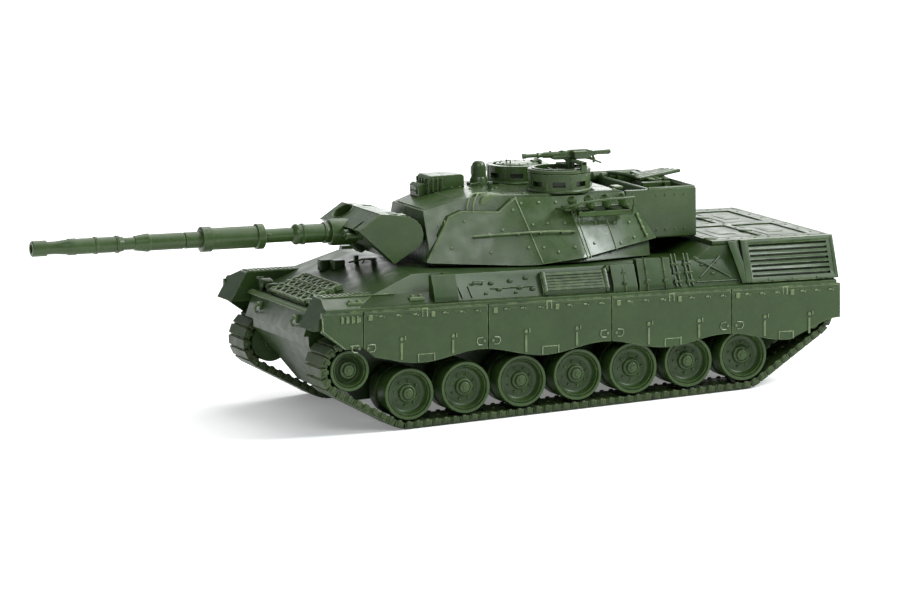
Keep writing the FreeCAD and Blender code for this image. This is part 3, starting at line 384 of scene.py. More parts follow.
def edge_mask(nodes, links, reach, low, high):
    """Near 1 along convex or concave edges, found by comparing a rounded normal with the true one."""
    rounded = nodes.new("ShaderNodeBevel")
    rounded.samples = 4
    rounded.inputs["Radius"].default_value = reach
    true = nodes.new("ShaderNodeNewGeometry")
    compare = nodes.new("ShaderNodeVectorMath")
    compare.operation = "DOT_PRODUCT"
    links.new(rounded.outputs["Normal"], compare.inputs[0])
    links.new(true.outputs["Normal"], compare.inputs[1])
    spread = nodes.new("ShaderNodeMapRange")
    spread.inputs["From Min"].default_value = 1.0 - low
    spread.inputs["From Max"].default_value = 1.0 - high
    links.new(compare.outputs["Value"], spread.inputs["Value"])
    return spread.outputs["Result"]


def painted_shade_mask(nodes, reach):
    """Near 1 in the open and near 0 in tight hollows, where shade is painted."""
    shade = nodes.new("ShaderNodeAmbientOcclusion")
    shade.samples = 4
    shade.inputs["Distance"].default_value = reach
    return shade.outputs["AO"]


def plastic(name, painted_shade_colour, base, wear_and_highlight_colour, rough=0.42, bump=0.10, wear_and_highlight_amount=0.55):
    """The moulded plastic in one tone: painted shade in hollows, base on faces, wear and painted
    highlight on edges.
    """
    finish, nodes, links, shader, place = new_finish(name)
    drift = ramp(nodes, links, grain(nodes, links, place, 170, 4), 0.32, 0.68, 0.84, 1.14)
    speck = ramp(nodes, links, grain(nodes, links, place, 1500, 3), 0.35, 0.7, 0.93, 1.08)
    tone = mixed(nodes, links, 1.0, base, drift, "MULTIPLY")
    tone = mixed(nodes, links, 1.0, tone, speck, "MULTIPLY")
    # Ambient occlusion pulls tight hollows toward the first colour: painted shade.
    unshaded = ramp(nodes, links, painted_shade_mask(nodes, 0.0011), 0.25, 0.85, 0.0, 1.0)
    tone = mixed(nodes, links, unshaded, painted_shade_colour, tone)
    patch = ramp(nodes, links, grain(nodes, links, place, 900, 4), 0.38, 0.6, 0.0, 1.0)
    # Edges are painted toward the lighter colour: part wear, part painted highlight.
    edges = edge_mask(nodes, links, 0.00022, 0.03, 0.30)
    wear_and_highlight_mask = nodes.new("ShaderNodeMath")
    wear_and_highlight_mask.operation = "MULTIPLY"
    links.new(edges, wear_and_highlight_mask.inputs[0])
    links.new(patch, wear_and_highlight_mask.inputs[1])
    wear_and_highlight_weight = nodes.new("ShaderNodeMath")
    wear_and_highlight_weight.operation = "MULTIPLY"
    wear_and_highlight_weight.inputs[1].default_value = wear_and_highlight_amount
    links.new(wear_and_highlight_mask.outputs[0], wear_and_highlight_weight.inputs[0])
    tone = mixed(nodes, links, wear_and_highlight_weight.outputs[0], tone, wear_and_highlight_colour)
    links.new(tone, shader.inputs["Base Color"])
    gloss = ramp(nodes, links, grain(nodes, links, place, 420, 5), 0.3, 0.7, rough - 0.07, rough + 0.08)
    links.new(gloss, shader.inputs["Roughness"])
    shader.inputs["Specular IOR Level"].default_value = 0.38
    relief = nodes.new("ShaderNodeBump")
    relief.inputs["Strength"].default_value = bump
    relief.inputs["Distance"].default_value = 0.00005
    links.new(grain(nodes, links, place, 3200, 3), relief.inputs["Height"])
    links.new(relief.outputs["Normal"], shader.inputs["Normal"])
    return finish


# In each plastic the first colour is painted shade for hollows, the last is wear and painted highlight
# on edges.
olive_hull = plastic("olive_hull", (0.003, 0.008, 0.002), (0.016, 0.038, 0.006), (0.165, 0.225, 0.085),
                     0.37, wear_and_highlight_amount=0.75)
olive_turret = plastic("olive_turret", (0.005, 0.012, 0.003), (0.025, 0.051, 0.011),
                       (0.175, 0.235, 0.100), 0.30, wear_and_highlight_amount=0.70)
olive_wheel = plastic("olive_wheel", (0.004, 0.010, 0.002), (0.022, 0.048, 0.009),
                      (0.130, 0.185, 0.060), 0.43, wear_and_highlight_amount=0.65)
olive_track = plastic("olive_track", (0.003, 0.008, 0.002), (0.020, 0.040, 0.008),
                      (0.150, 0.190, 0.055), 0.48, wear_and_highlight_amount=0.75)
# A lighter copy of the plastic for raised details: painted highlight and wear.
olive_relief_worn_and_highlit = plastic("olive_relief_worn_and_highlit", (0.012, 0.024, 0.006), (0.070, 0.110, 0.040),
                       (0.300, 0.360, 0.210), 0.34, wear_and_highlight_amount=0.85)
print("olive plastic in", len([m for m in bpy.data.materials if m.name.startswith("olive")]), "tones")
# %% [markdown]
# ## Hull shells straight from the CAD
#
# The upper shell, the tub, the stern plate and the fenders already have the right shape; the CAD
# model only lacks the small radius that every moulded edge has. Their copies are merged, softened by
# about a tenth of a millimetre and given the plastic. Redrawing them would only risk moving a face.

# %% Upper shell, tub, stern plate and fenders
for node, edge in (("upper_hull", 0.16), ("rear_plate", 0.12), ("front_fenders", 0.12)):
    shell = cast_from(node, edge=edge)
    settle(shell, node + "_shell", "hull", olive_hull, stands_for=node)

tub = cast_from("lower_hull", place=level_frame, edge=0.1)
settle(tub, "hull_tub", "hull", olive_hull, level_frame, "lower_hull")

# %% [markdown]
# ## Bolts and studs
#
# Bolt heads are scattered all over the toy: little drums with a rounded top, a third of a millimetre
# wide. Each is modelled once as a cone stump with a bevelled top and copied, so a hundred of them
# stay light.

# %% A bolt head on any face


def stud(radius=0.28, height=0.22, sides=8):
    """One bolt head standing on the origin, along w."""
    clear()
    bpy.ops.mesh.primitive_cone_add(
        vertices=sides, radius1=radius, radius2=radius * 0.82,
        depth=height, location=(0, 0, height / 2),
    )
    return soften(apply_place(bpy.context.object), radius * 0.22, 1)


def stand_on(point, normal):
    """A matrix that stands a stud on a point, its foot slightly sunk, along a face's normal."""
    normal = Vector(normal).normalized()
    turn = normal.to_track_quat("Z", "Y").to_matrix().to_4x4()
    return Matrix.Translation(Vector(point) - normal * 0.06) @ turn


def studs(places, radius=0.28, height=0.22, sides=8):
    return copies(stud(radius, height, sides), [stand_on(*place) for place in places])


print("stud ready:", faces_of(stud()), "triangles")
bpy.data.objects.remove(bpy.context.object)

# %% [markdown]
# ## Hull roof and bow fittings
#
# The bow carries the driver's periscopes, a clamped tool, the rail along the nose, tow hooks and the
# studs along the rim of the fenders. They are small blocks and bent rods on the CAD shell's faces.
# The glacis runs from (8.0, 24.05) down to (20.8, 19.4), so one small function gives its height.

# %% Heights on the bow


def glacis_w(u):
    """Height of the glacis at u."""
    return 24.05 if u < 8.0 else 24.05 - (u - 8.0) * 4.65 / 12.8


print("glacis height at u 15:", round(glacis_w(15), 2))

# %% Driver's periscopes and the tool beside them
pieces = []
for u, v, wide, tall in ((13.3, -8.6, 1.15, 1.9), (12.2, -5.9, 1.0, 1.7)):
    base = glacis_w(u) - 0.3
    pieces.append(block((u - wide, u + wide), (v - 0.95, v + 0.95), (base, base + tall), 0.2, 2))
    pieces.append(block((u + wide - 0.1, u + wide + 0.12), (v - 0.6, v + 0.6),
                        (base + 0.9, base + tall - 0.3), 0.05))
tool = [(10.6, -4.8, 23.5), (9.8, -3.6, 23.9), (9.2, -1.9, 24.3), (8.8, -0.6, 24.45), (8.2, 1.0, 24.5),
        (8.6, 2.1, 24.35)]
pieces.append(wire(tool, 0.34))
pieces.append(wire([(9.6, -1.2, 23.8), (9.6, -0.2, 24.5), (8.0, 0.2, 24.6), (7.4, -0.6, 24.3)], 0.3))
for point in ((9.8, -3.6), (8.4, 0.6)):
    pieces.append(block((point[0] - 0.35, point[0] + 0.35), (point[1] - 0.3, point[1] + 0.3),
                        (23.4, 24.75), 0.08))
driver = joined(pieces)
settle(driver, "driver_periscopes", "hull", olive_hull)

# %% Rail, hooks and clamps round the bow
bow = []
lip = outline_plate([(23.6, 18.55), (24.3, 18.35), (24.55, 17.9), (23.9, 17.75)], "y", -15.9, 15.9,
                    0.08)
bow.append(lip)
for side in (1, -1):
    v = side * 8.6
    hook = [(24.5, v, 17.2), (25.3, v, 16.9), (25.8, v, 16.3), (25.7, v, 15.7), (25.3, v, 15.5)]
    bow.append(wire(hook, 0.45, 8))
    bow.append(block((24.0, 25.2), (v - 0.6, v + 0.6), (16.0, 17.4), 0.12, 2))
    for step in range(2):
        u = 19.6 - 10.8 * step
        base = 19.9 + (0.6 if step == 0 else 0.8)
        v = side * (21.4 if step == 0 else 21.1)
        bow.append(block((u - 1.3, u + 1.3), sorted((v - 0.55, v + 0.55)), (base - 0.5, base + 0.18),
                         0.12, 2))
        for shift in (-0.7, 0.7):
            bow.append(rod("z", base - 0.4, base + 0.55, 0.42, (u + shift, v), 0.12, 12))
    for index in range(4):
        u = 22.6 - 0.9 * index
        bow.append(block((u - 0.16, u + 0.16), sorted((side * 23.5, side * 23.86)), (17.55, 18.75),
                         0.05))
settle(joined(bow), "bow_fittings", "hull", olive_relief_worn_and_highlit)

# %% Ribbed treads on the fender tops
treads = []
for side in (1, -1):
    for index in range(15):
        u = 23.6 - 0.78 * index
        low, high = sorted((side * 16.5, side * 19.0))
        treads.append(block((u - 0.2, u + 0.16), (low, high), (21.12, 21.44), 0.06))
    frame_line = [(24.1, 16.3), (24.1, 19.2), (11.9, 19.2), (11.9, 16.3)]
    points = [(u, side * v, 21.34) for u, v in frame_line]
    treads.append(wire(points, 0.22, 6, closed=True))
settle(joined(treads), "fender_treads", "hull", olive_relief_worn_and_highlit)

# %% [markdown]
# ## Headlamps
#
# Each cluster is a blackout lamp box, a round lamp with a domed glass and a small marker, on one
# foot. The glass on the toy is the same plastic, so it is only a smooth dome. The drums are turned by
# spinning a half-section, because a lathe gives the rim and the dome in one outline.

# %% Lamp clusters
lamps = []
for side in (1, -1):
    v = side * 12.2
    lamps.append(block((21.2, 22.6), sorted((v - 1.3, v + 1.3)), (17.7, 19.2), 0.15, 2))
    bowl = [(21.3, 0.0), (21.3, 0.6), (21.7, 0.9), (23.1, 0.95), (23.3, 0.88), (23.25, 0.72),
            (23.4, 0.5), (23.46, 0.0)]
    lamps.append(lathe(bowl, "x", (v + side * 0.3, 19.7), 28))
    lamps.append(block((21.2, 23.0), sorted((v - side * 2.1 - 0.7, v - side * 2.1 + 0.7)), (18.4, 20.0),
                       0.14, 2))
    lamps.append(block((22.9, 23.2), sorted((v - side * 2.1 - 0.5, v - side * 2.1 + 0.5)), (19.3, 19.7),
                       0.06))
    marker = [(22.3, 0.0), (22.3, 0.5), (23.6, 0.55), (23.7, 0.4), (23.8, 0.0)]
    lamps.append(lathe(marker, "x", (v + side * 0.4, 17.9), 20))
    guard = [(22.4, v - side * 1.3, 20.2), (23.6, v - side * 1.2, 20.5), (23.9, v + side * 0.6, 20.75),
             (22.4, v + side * 1.4, 20.6)]
    lamps.append(wire(guard, 0.24))
settle(joined(lamps), "headlamp_clusters", "hull", olive_hull, stands_for="front_lamps")

# %% [markdown]
# ## The block of spare grousers
#
# Spare track grousers are stacked on the glacis in a low block. On the toy they show as a lattice of
# crossing diagonal bars with a few round ends at the near side. Bars are crossed in the plane of the
# glacis, then the whole lattice is tipped onto its slope: drawing it flat keeps the spacing even.

# %% Grouser lattice
SLOPE = math.atan2(2.5, 6.9)
lattice = []
LONG, HALF = 7.0, 8.2
for lean in (1, -1):
    for index in range(-3, 12):
        start = index * 2.4
        line = []
        for reach in (0.0, LONG):
            line.append((reach,
                         -HALF + start + (reach * 0.95 if lean > 0 else LONG * 0.95 - reach * 0.95)))
        (a0, b0), (a1, b1) = line
        slide = (b1 - b0) / (a1 - a0)
        for limit in (-HALF, HALF):
            for which in (0, 1):
                a, b = ((a0, b0), (a1, b1))[which]
                if (b < -HALF and limit < 0) or (b > HALF and limit > 0):
                    a, b = a + (limit - b) / slide, limit
                if which == 0:
                    a0, b0 = a, b
                else:
                    a1, b1 = a, b
        if 0 <= a0 <= LONG and 0 <= a1 <= LONG and abs(a1 - a0) > 0.6:
            lattice.append(wire([(a0, b0, 0.72), (a1, b1, 0.72)], 0.4, 6))
for low, high in ((0.0, 0.35), (2.2, 2.5), (4.5, 4.8), (LONG - 0.35, LONG)):
    lattice.append(block((low, high), (-HALF, HALF), (0.4, 0.98), 0.08))
for low, high in ((-HALF, -HALF + 0.35), (HALF - 0.35, HALF)):
    lattice.append(block((0, LONG), (low, high), (0.0, 0.95), 0.08))
lattice.append(block((0.1, LONG - 0.1), (-HALF + 0.1, HALF - 0.1), (-0.2, 0.1), 0.06))
for index in range(5):
    a = 0.7 + index * 1.4
    for side in (1, -1):
        low, high = sorted((side * (HALF - 0.5), side * (HALF + 0.22)))
        lattice.append(rod("y", low, high, 0.52, (a, 0.55), 0.1, 12))
rack = joined(lattice)
tip = Matrix.Translation((16.5, 0, 20.95)) @ Matrix.Rotation(SLOPE, 4, "Y")
rack.data.transform(tip)
settle(rack, "grouser_lattice", "hull", olive_relief_worn_and_highlit, stands_for="spare_grouser_rack")
# %% [markdown]
# ## The engine deck
#
# The deck is a flat cover with recessed panels held by small screws, a lip all round, round filler
# caps and lifting eyes. The CAD cover gives the plate and its recesses; the frames round the recesses,
# the hatch in the big panel and the screws are added in low relief so the top stays flat.

# %% Deck cover and its fittings
cover = cast_from("engine_deck", edge=0.14)
deck = [cover]
for low, high in ((-62.5, -55.0), (-54.0, -46.0)):
    for v in (-16.5, 1.5):
        deck.append(block((low + 0.9, high - 0.9), (v + 1.2, v + 13.8), (26.6, 26.9), 0.14, 2))
        deck.append(block((low + 2.4, high - 2.4), (v + 4.6, v + 10.4), (26.7, 26.98), 0.12, 2))
frame_run = [(-64.6, -18.9, 26.96), (-44.5, -18.9, 26.96), (-44.5, 18.9, 26.96), (-64.6, 18.9, 26.96)]
deck.append(wire(frame_run, 0.16, 6, closed=True))
screws = []
for index in range(9):
    u = -64.2 + index * 2.4
    screws += [((u, side * 18.2, 27.0), (0, 0, 1)) for side in (1, -1)]
for index in range(7):
    v = -15 + index * 5
    screws += [((u, v, 27.0), (0, 0, 1)) for u in (-63.6, -54.5, -45.0)]
deck.append(studs(screws, 0.3, 0.14))
for side in (1, -1):
    cap = [(26.9, 0.0), (27.12, 0.0), (27.2, 0.3), (27.2, 0.95), (27.1, 1.15), (26.9, 1.2)]
    deck.append(lathe(cap, "z", (-54.5, side * 9.0), 24))
    deck.append(lathe(cap, "z", (-44.9, side * 16.6), 24))
settle(joined(deck), "engine_deck_cover", "hull", olive_hull, stands_for="engine_deck")

# %% [markdown]
# ## Exhaust grilles and the slanted plates before them
#
# The grille box has seven slots cut between its slats. A bright-edged frame and a few latch screws
# finish it, and a sloped plate closes its front end. The plate leans with the flank, so it is drawn
# as a thin outline standing across the hull.

# %% Grilles, frames and end plates
grille = cast_from("exhaust_grilles", edge=0.06, segments=1)


def flank(w):
    """Half width of the grille's sloped face at height w."""
    return 23.1 - (w - 20.2) * 2.6 / 6.8


trims = []
end = [(flank(20.25) + 0.12, 20.25), (flank(26.9) + 0.12, 26.95), (20.0, 26.95), (20.0, 20.25)]
for low, high in ((-49.7, -48.5), (-65.08, -64.4)):
    trims.append(outline_plate(end, "x", low, high, 0.1))
for w, tall in ((20.3, 0.45), (26.5, 0.4)):
    half = flank(w)
    bar = [(half - 0.3, w), (half + 0.1, w), (flank(w + tall) + 0.1, w + tall), (half - 0.3, w + tall)]
    trims.append(outline_plate(bar, "x", -64.8, -49.0, 0.06))
lean_plate = [(-48.6, 20.1), (-46.9, 26.6), (-48.0, 27.0), (-50.0, 20.1)]
trims.append(outline_plate(lean_plate, "y", 20.0, 20.6, 0.08))
slant = [(22.9, 20.1), (23.1, 20.2), (20.6, 26.9), (20.2, 26.9)]
wedge = outline_plate(slant, "x", -49.3, -47.9, 0.08)
for vertex in wedge.data.vertices:
    vertex.co.x += (vertex.co.z - 20.1) * 0.24
trims.append(wedge)
latch = []
for u in (-52.5, -56.8, -61.2):
    latch.append(((u, flank(20.5) + 0.1, 20.55), (0, 0.93, 0.36)))
trims.append(studs(latch, 0.24, 0.16))
trim = both_sides(joined(trims))
settle(joined([grille, trim]), "grille_boxes", "hull", olive_hull, stands_for="exhaust_grilles")

# %% [markdown]
# ## Stowage along the flanks
#
# Between the wedge-shaped cover and the grille the flank is crowded: a ribbed box, two plain lockers,
# clamps, straps, crossed braces and a handle. The lockers come from the CAD model. Everything else is
# laid on the sloped flank, whose half width falls from 22.4 at its foot to 20.0 at the roof.

# %% Lockers, ribs, straps and clamps


def side_v(w):
    """Half width of the hull's sloped flank at height w."""
    return 22.4 - (w - 20.1) * 2.4 / 3.95 if w < 24.05 else 20.0


def on_flank(u, w, proud=0.0):
    return (u, side_v(w) + proud, w)


lockers = cast_from("side_stowage", edge=0.14)
flank_bits = []
for index in range(6):
    w = 20.75 + index * 0.46
    half = 22.72 - (w - 20.6) * 0.55
    low, high = half - 0.3, half + 0.16
    flank_bits.append(block((-23.4, -13.5), (low, high), (w, w + 0.26), 0.07))
for u in (-24.0, -13.2):
    cap = [(22.95, 20.1), (22.95, 20.8), (21.3, 23.75), (20.6, 23.75), (20.6, 20.1)]
    flank_bits.append(outline_plate(cap, "x", u - 0.32, u + 0.32, 0.08))
    flank_bits.append(studs([((u, 22.9 - 0.55 * k, 20.8 + k * 0.95), (0, 0.87, 0.48))
                             for k in range(4)], 0.2, 0.2, 6))
for u, top, out in ((-34.2, 24.9, 22.9), (-31.0, 24.9, 22.9), (-27.1, 23.9, 22.9)):
    lean = 1.6 / (top - 20.9)
    strap = [(u, out + 0.08, 20.0), (u, out + 0.08, 20.9),
             (u, out + 0.08 - lean * (top - 20.9), top + 0.05), (u, 20.3, top + 0.06)]
    flank_bits.append(wire(strap, 0.3))
    flank_bits.append(block((u - 0.35, u + 0.35), (out - 0.35, out + 0.2), (21.2, 21.7), 0.08))
    flank_bits.append(block((u - 0.3, u + 0.3), (out - 1.25, out - 0.75), (22.6, 23.2), 0.08))
for u in (-36.4, -37.1, -38.6, -39.3):
    run = [on_flank(u, w, 0.12) for w in (20.2, 21.6, 23.0, 24.3)] + [(u, 19.6, 25.2)]
    flank_bits.append(wire(run, 0.34))
    for w in (20.9, 22.2, 23.6):
        v = side_v(w)
        flank_bits.append(block((u - 0.36, u + 0.36), (v - 0.1, v + 0.42), (w - 0.26, w + 0.26), 0.09))
for a, b in (((-40.8, 21.4), (-45.0, 24.5)), ((-40.4, 24.6), (-46.2, 21.2))):
    flank_bits.append(wire([(a[0], side_v(a[1]) + 0.1, a[1]), (b[0], side_v(b[1]) + 0.1, b[1])], 0.24))
for u, w in ((-32.9, 22.0), (-35.6, 21.6), (-24.7, 23.6)):
    boss = rod("y", side_v(w) - 0.2, side_v(w) + 0.75, 0.55, (u, w), 0.12, 14)
    flank_bits.append(boss)
    flank_bits.append(rod("y", side_v(w) + 0.6, side_v(w) + 0.95, 0.28, (u, w), 0.06, 10))
for u in (1.9, 1.2, -0.5):
    flank_bits.append(wire([on_flank(u, 20.4, 0.1), on_flank(u + 0.4, 22.1, 0.1)], 0.22))
flank_bits.append(wire([on_flank(-1.0, 22.3, 0.1), on_flank(-1.0, 22.9, 0.7), on_flank(-2.6, 22.9, 0.7),
                        on_flank(-2.6, 22.3, 0.1)], 0.3))
for u, w in ((-4.2, 22.4), (-5.4, 21.4), (-7.6, 22.6), (-9.0, 21.5), (-10.4, 22.9), (-11.2, 21.2)):
    flank_bits.append(block((u - 0.4, u + 0.4), (side_v(w) - 0.2, side_v(w) + 0.35),
                            (w - 0.24, w + 0.24), 0.09))
flank_bits.append(wire([on_flank(-4.0, 21.6, 0.12), on_flank(-11.4, 21.6, 0.12)], 0.24))
flank_bits.append(wire([on_flank(-40.0, 20.7, 0.1), on_flank(-47.6, 20.7, 0.1)], 0.2))
for u, w in ((-3.0, 20.9), (-8.2, 20.8), (-44.0, 23.6), (-41.6, 23.3), (-43.2, 21.9)):
    flank_bits.append(block((u - 0.3, u + 0.3), (side_v(w) - 0.2, side_v(w) + 0.26),
                            (w - 0.16, w + 0.16), 0.06))
fittings = both_sides(joined(flank_bits))
settle(joined([lockers, fittings]), "flank_stowage", "hull", olive_hull, stands_for="side_stowage")

# %% [markdown]
# ## Stern fittings
#
# The stern plate carries two towing hooks, a pair of rear lamps, a round travel-lock foot and two
# ventilation louvres. They are the only relief on an otherwise plain wall.

# %% Stern hooks, lamps and louvres
stern = []
for side in (1, -1):
    v = side * 9.4
    stern.append(wire([(-65.1, v, 14.9), (-65.62, v, 14.5), (-65.62, v, 13.3), (-65.1, v, 12.9)], 0.44,
                      8))
    stern.append(block((-65.55, -65.0), sorted((v - 0.9, v + 0.9)), (14.6, 15.7), 0.12))
    lamp = [(-65.1, 0.0), (-65.1, 0.9), (-65.38, 0.9), (-65.46, 0.75), (-65.4, 0.55), (-65.44, 0.0)]
    stern.append(lathe(lamp, "x", (side * 16.8, 21.5), 24))
    for row in range(5):
        w = 17.5 + row * 0.95
        stern.append(block((-65.5, -65.1), sorted((side * 3.4, side * 12.2)), (w, w + 0.5), 0.1))
    bolts = [((-65.3, side * v, w), (-1, 0, 0)) for v in (4.0, 8.0, 12.0, 15.6, 18.4) for w in (23.6,)]
    bolts += [((-65.3, side * v, 12.0), (-1, 0, 0)) for v in (3.0, 6.0, 12.0)]
    stern.append(studs(bolts, 0.26, 0.12))
stern.append(block((-65.6, -65.1), (-2.0, 2.0), (16.6, 19.4), 0.2, 2))
stern.append(wire([(-65.3, -2.6, 12.4), (-65.3, -2.6, 22.9), (-65.3, 2.6, 22.9), (-65.3, 2.6, 12.4)],
                  0.2))
settle(joined(stern), "stern_fittings", "hull", olive_hull)
# %% [markdown]
# ## Side skirts
#
# Each skirt is one long plate with a waved foot, divided by upright seams into five panels. The CAD
# plate gives the outline. Its copy is pressed a quarter of a millimetre thinner, so that the relief on
# it stays inside the CAD size, and it is cut at the seams with bisect, which leaves real gaps.

# %% Panels cut at the seams
SEAMS = (18.9, -2.7, -24.3, -45.6)
SKIN = 23.66


def skirt_panels():
    plate = cast_from("skirt_left")
    for vertex in plate.data.vertices:
        if vertex.co.y > 23.5:
            vertex.co.y = SKIN
    edges = [26.2, *SEAMS, -65.3]
    panels = []
    for front, rear in zip(edges, edges[1:]):
        panel = twin(plate)
        only(panel)
        for place, out, shift in ((front, 1, -0.09), (rear, -1, 0.09)):
            bpy.ops.object.mode_set(mode="EDIT")
            bpy.ops.mesh.select_all(action="SELECT")
            bpy.ops.mesh.bisect(
                plane_co=(place + shift, 0, 0), plane_no=(out, 0, 0), use_fill=True,
                clear_outer=True,
            )
            bpy.ops.object.mode_set(mode="OBJECT")
        soften(panel, 0.07, 1)
        bpy.ops.object.mode_set(mode="EDIT")
        bpy.ops.mesh.select_all(action="SELECT")
        bpy.ops.mesh.customdata_custom_splitnormals_clear()
        bpy.ops.mesh.faces_shade_flat()
        bpy.ops.object.mode_set(mode="OBJECT")
        panels.append(panel)
    bpy.data.objects.remove(plate)
    return panels


def foot_w(u):
    """Height of the skirt's waved foot at u."""
    return 11.3 - 0.8 * cos(2 * math.pi * (u + 12.4) / 21.5)


panels = skirt_panels()
print("panels:", len(panels), "triangles:", sum(faces_of(p) for p in panels))

# %% [markdown]
# ## What hangs on the skirts
#
# Each panel repeats the same set: a row of small bolts and two bright tabs under the rim, a bracket at
# mid panel, two hooks with a strap down to the foot, two ticks at the lowest point, and round each
# seam a pair of bent handles. One panel's set is laid out from its seam, and then repeated.

# %% Relief of one panel set
FACE = SKIN - 0.02


def panel_set(seam, squeeze=1.0):
    """All the relief of the panel that starts at this seam and runs aft, squeezed on the last one."""
    bits = []
    for gap, wide in ((-1.2, 0.36), (-12.0, 0.32)):
        u = seam + gap * squeeze
        bits.append(block((u - wide, u + wide), (FACE, FACE + 0.24), (17.85, 18.75), 0.08))
    for gap in (-3.0, -5.9, -8.9, -14.0, -16.9, -19.6):
        u = seam + gap * squeeze
        bits.append(block((u - 0.3, u + 0.3), (FACE, FACE + 0.2), (18.3, 18.6), 0.07))
        bits.append(block((u - 0.62, u - 0.42), (FACE, FACE + 0.16), (18.2, 18.45), 0.05))
    for gap in (-10.2, -11.0):
        u = seam + gap * squeeze
        bits.append(block((u - 0.1, u + 0.1), (FACE, FACE + 0.14), (18.0, 19.35), 0.03))
    middle = seam - 10.6 * squeeze
    bits.append(block((middle - 0.5, middle + 0.5), (FACE, FACE + 0.16), (19.15, 19.38), 0.04))
    for gap in (-6.5, -15.4):
        u = seam + gap * squeeze
        foot = foot_w(u) + 0.35
        bits.append(block((u - 0.19, u + 0.19), (FACE, FACE + 0.2), (foot, 13.9), 0.06))
        bits.append(rod("y", FACE, FACE + 0.24, 0.34, (u, 14.55), 0.1, 10))
        bits.append(block((u - 0.75, u - 0.52), (FACE, FACE + 0.2), (14.35, 15.0), 0.06))
    for gap in (-9.4, -12.2):
        u = seam + gap * squeeze
        foot = foot_w(u) + 0.1
        bits.append(block((u - 0.11, u + 0.11), (FACE, FACE + 0.16), (foot, foot + 1.3), 0.04))
    low = foot_w(seam - 10.8 * squeeze) + 1.3
    bits.append(block((seam - 12.2 * squeeze, seam - 9.4 * squeeze), (FACE, FACE + 0.05),
                      (low, low + 0.12), 0.02))
    return bits


def seam_handles(seam):
    """The bent handles and hinge lugs on both sides of a seam's foot."""
    bits = []
    for side in (1, -1):
        u = seam + side * 1.9
        bend = [(u - side * 0.9, FACE + 0.07, 14.0), (u, FACE + 0.1, 13.9),
                (u + side * 0.15, FACE + 0.1, 13.3),
                (u - side * 0.2, FACE + 0.1, 12.8), (u - side * 0.9, FACE + 0.07, 12.8)]
        bits.append(wire(bend, 0.2))
        bits.append(rod("y", FACE, FACE + 0.2, 0.26, (seam + side * 0.75, 13.4), 0.07, 8))
    return bits


bits = []
for seam in SEAMS:
    bits += seam_handles(seam)
for seam in SEAMS[:3]:
    bits += panel_set(seam)
bits += panel_set(SEAMS[3], 0.9)
print("relief on a skirt:", sum(faces_of(b) for b in bits), "triangles")

# %% Front piece, rim strip and hand over
for index in range(4):
    u = 22.4 - index * 0.95
    bits.append(block((u - 0.14, u + 0.14), (FACE, FACE + 0.2), (17.7, 18.55), 0.05))
for u in (21.0, 19.9, 18.0, 17.1):
    bits.append(block((u - 0.28, u + 0.28), (FACE, FACE + 0.18), (13.75, 14.0), 0.06))
bits.append(wire([(25.9, FACE, 19.0), (25.8, FACE, 16.5), (22.1, FACE, 13.45)], 0.2))
rims = []
for front, rear in zip([26.0, *SEAMS], [*SEAMS, -65.1]):
    rims.append(block((rear + 0.2, front - 0.2), (FACE - 0.1, FACE + 0.12), (18.62, 19.2), 0.08))
plain, raised = joined(panels + rims), joined(bits)
for piece, name in ((mirrored(twin(plain)), "right"), (plain, "left")):
    settle(piece, "skirt_panels_" + name, "hull", olive_hull, stands_for="skirt_" + name)
# The relief takes the lighter plastic: painted highlight and wear on the raised bits.
for piece, name in ((mirrored(twin(raised)), "right"), (raised, "left")):
    settle(piece, "skirt_relief_" + name, "hull", olive_relief_worn_and_highlit)
print("skirt plates", faces_of(plain), "relief", faces_of(raised), "triangles a side")
# %% [markdown]
# ## Road wheels
#
# A road wheel is a twin disc with a thick rim, a second ring just inside it, a dished face with eight
# bolts and a domed hub cap. The half-section is spun about the axle, then bolts are copied round the
# dish. It is modelled once at the first axle and copied to the other thirteen.

# %% One road wheel


def wheel_section(radius):
    """Half-section of (across the vehicle, radius) points, from the hub's back to its cap."""
    return [
        (13.4, 0.66), (13.4, 1.4), (14.85, 1.4), (14.85, radius - 0.15), (15.0, radius),
        (17.75, radius),
        (17.9, radius - 0.15), (17.9, radius - 1.05), (18.9, radius - 1.05), (18.9, radius - 0.15),
        (19.05, radius),
        (22.1, radius), (22.28, radius - 0.12), (22.3, radius - 0.3), (22.26, radius - 0.5),
        (22.1, radius - 0.58),
        (21.9, radius - 0.62), (21.9, radius - 0.7), (22.02, radius - 0.74), (22.06, radius - 0.84),
        (21.95, radius - 0.92),
        (21.3, radius - 1.0), (20.95, radius - 1.12), (20.78, radius - 1.4),
        (20.74, radius * 0.5 + 0.35),
        (20.86, radius * 0.5 + 0.12), (20.9, 1.7), (21.05, 1.5), (21.5, 1.42), (21.62, 1.3),
        (21.64, 1.12), (21.5, 1.02), (21.52, 0.9), (21.96, 0.84), (22.06, 0.7), (22.06, 0.42),
        (22.2, 0.34), (22.22, 0.0),
    ]


def wheel_piece(x, z, radius, bolts, ring):
    disc = lathe(wheel_section(radius), "y", (x, z), 56)
    parts = [disc]
    for index in range(bolts):
        angle = 2 * math.pi * index / bolts + 0.2
        place = ((x + ring * cos(angle), 20.8, z + ring * sin(angle)), (0, 1, 0))
        parts.append(studs([place], 0.22, 0.4, 8))
    for index in range(3):
        angle = 2 * math.pi * index / 3 + 0.5
        place = ((x + 0.62 * cos(angle), 22.0, z + 0.62 * sin(angle)), (0, 1, 0))
        parts.append(studs([place], 0.1, 0.2, 6))
    return joined(parts)


wheel = wheel_piece(10.3, 5.8, 4.25, 8, 2.05)
print("road wheel", faces_of(wheel), "triangles")

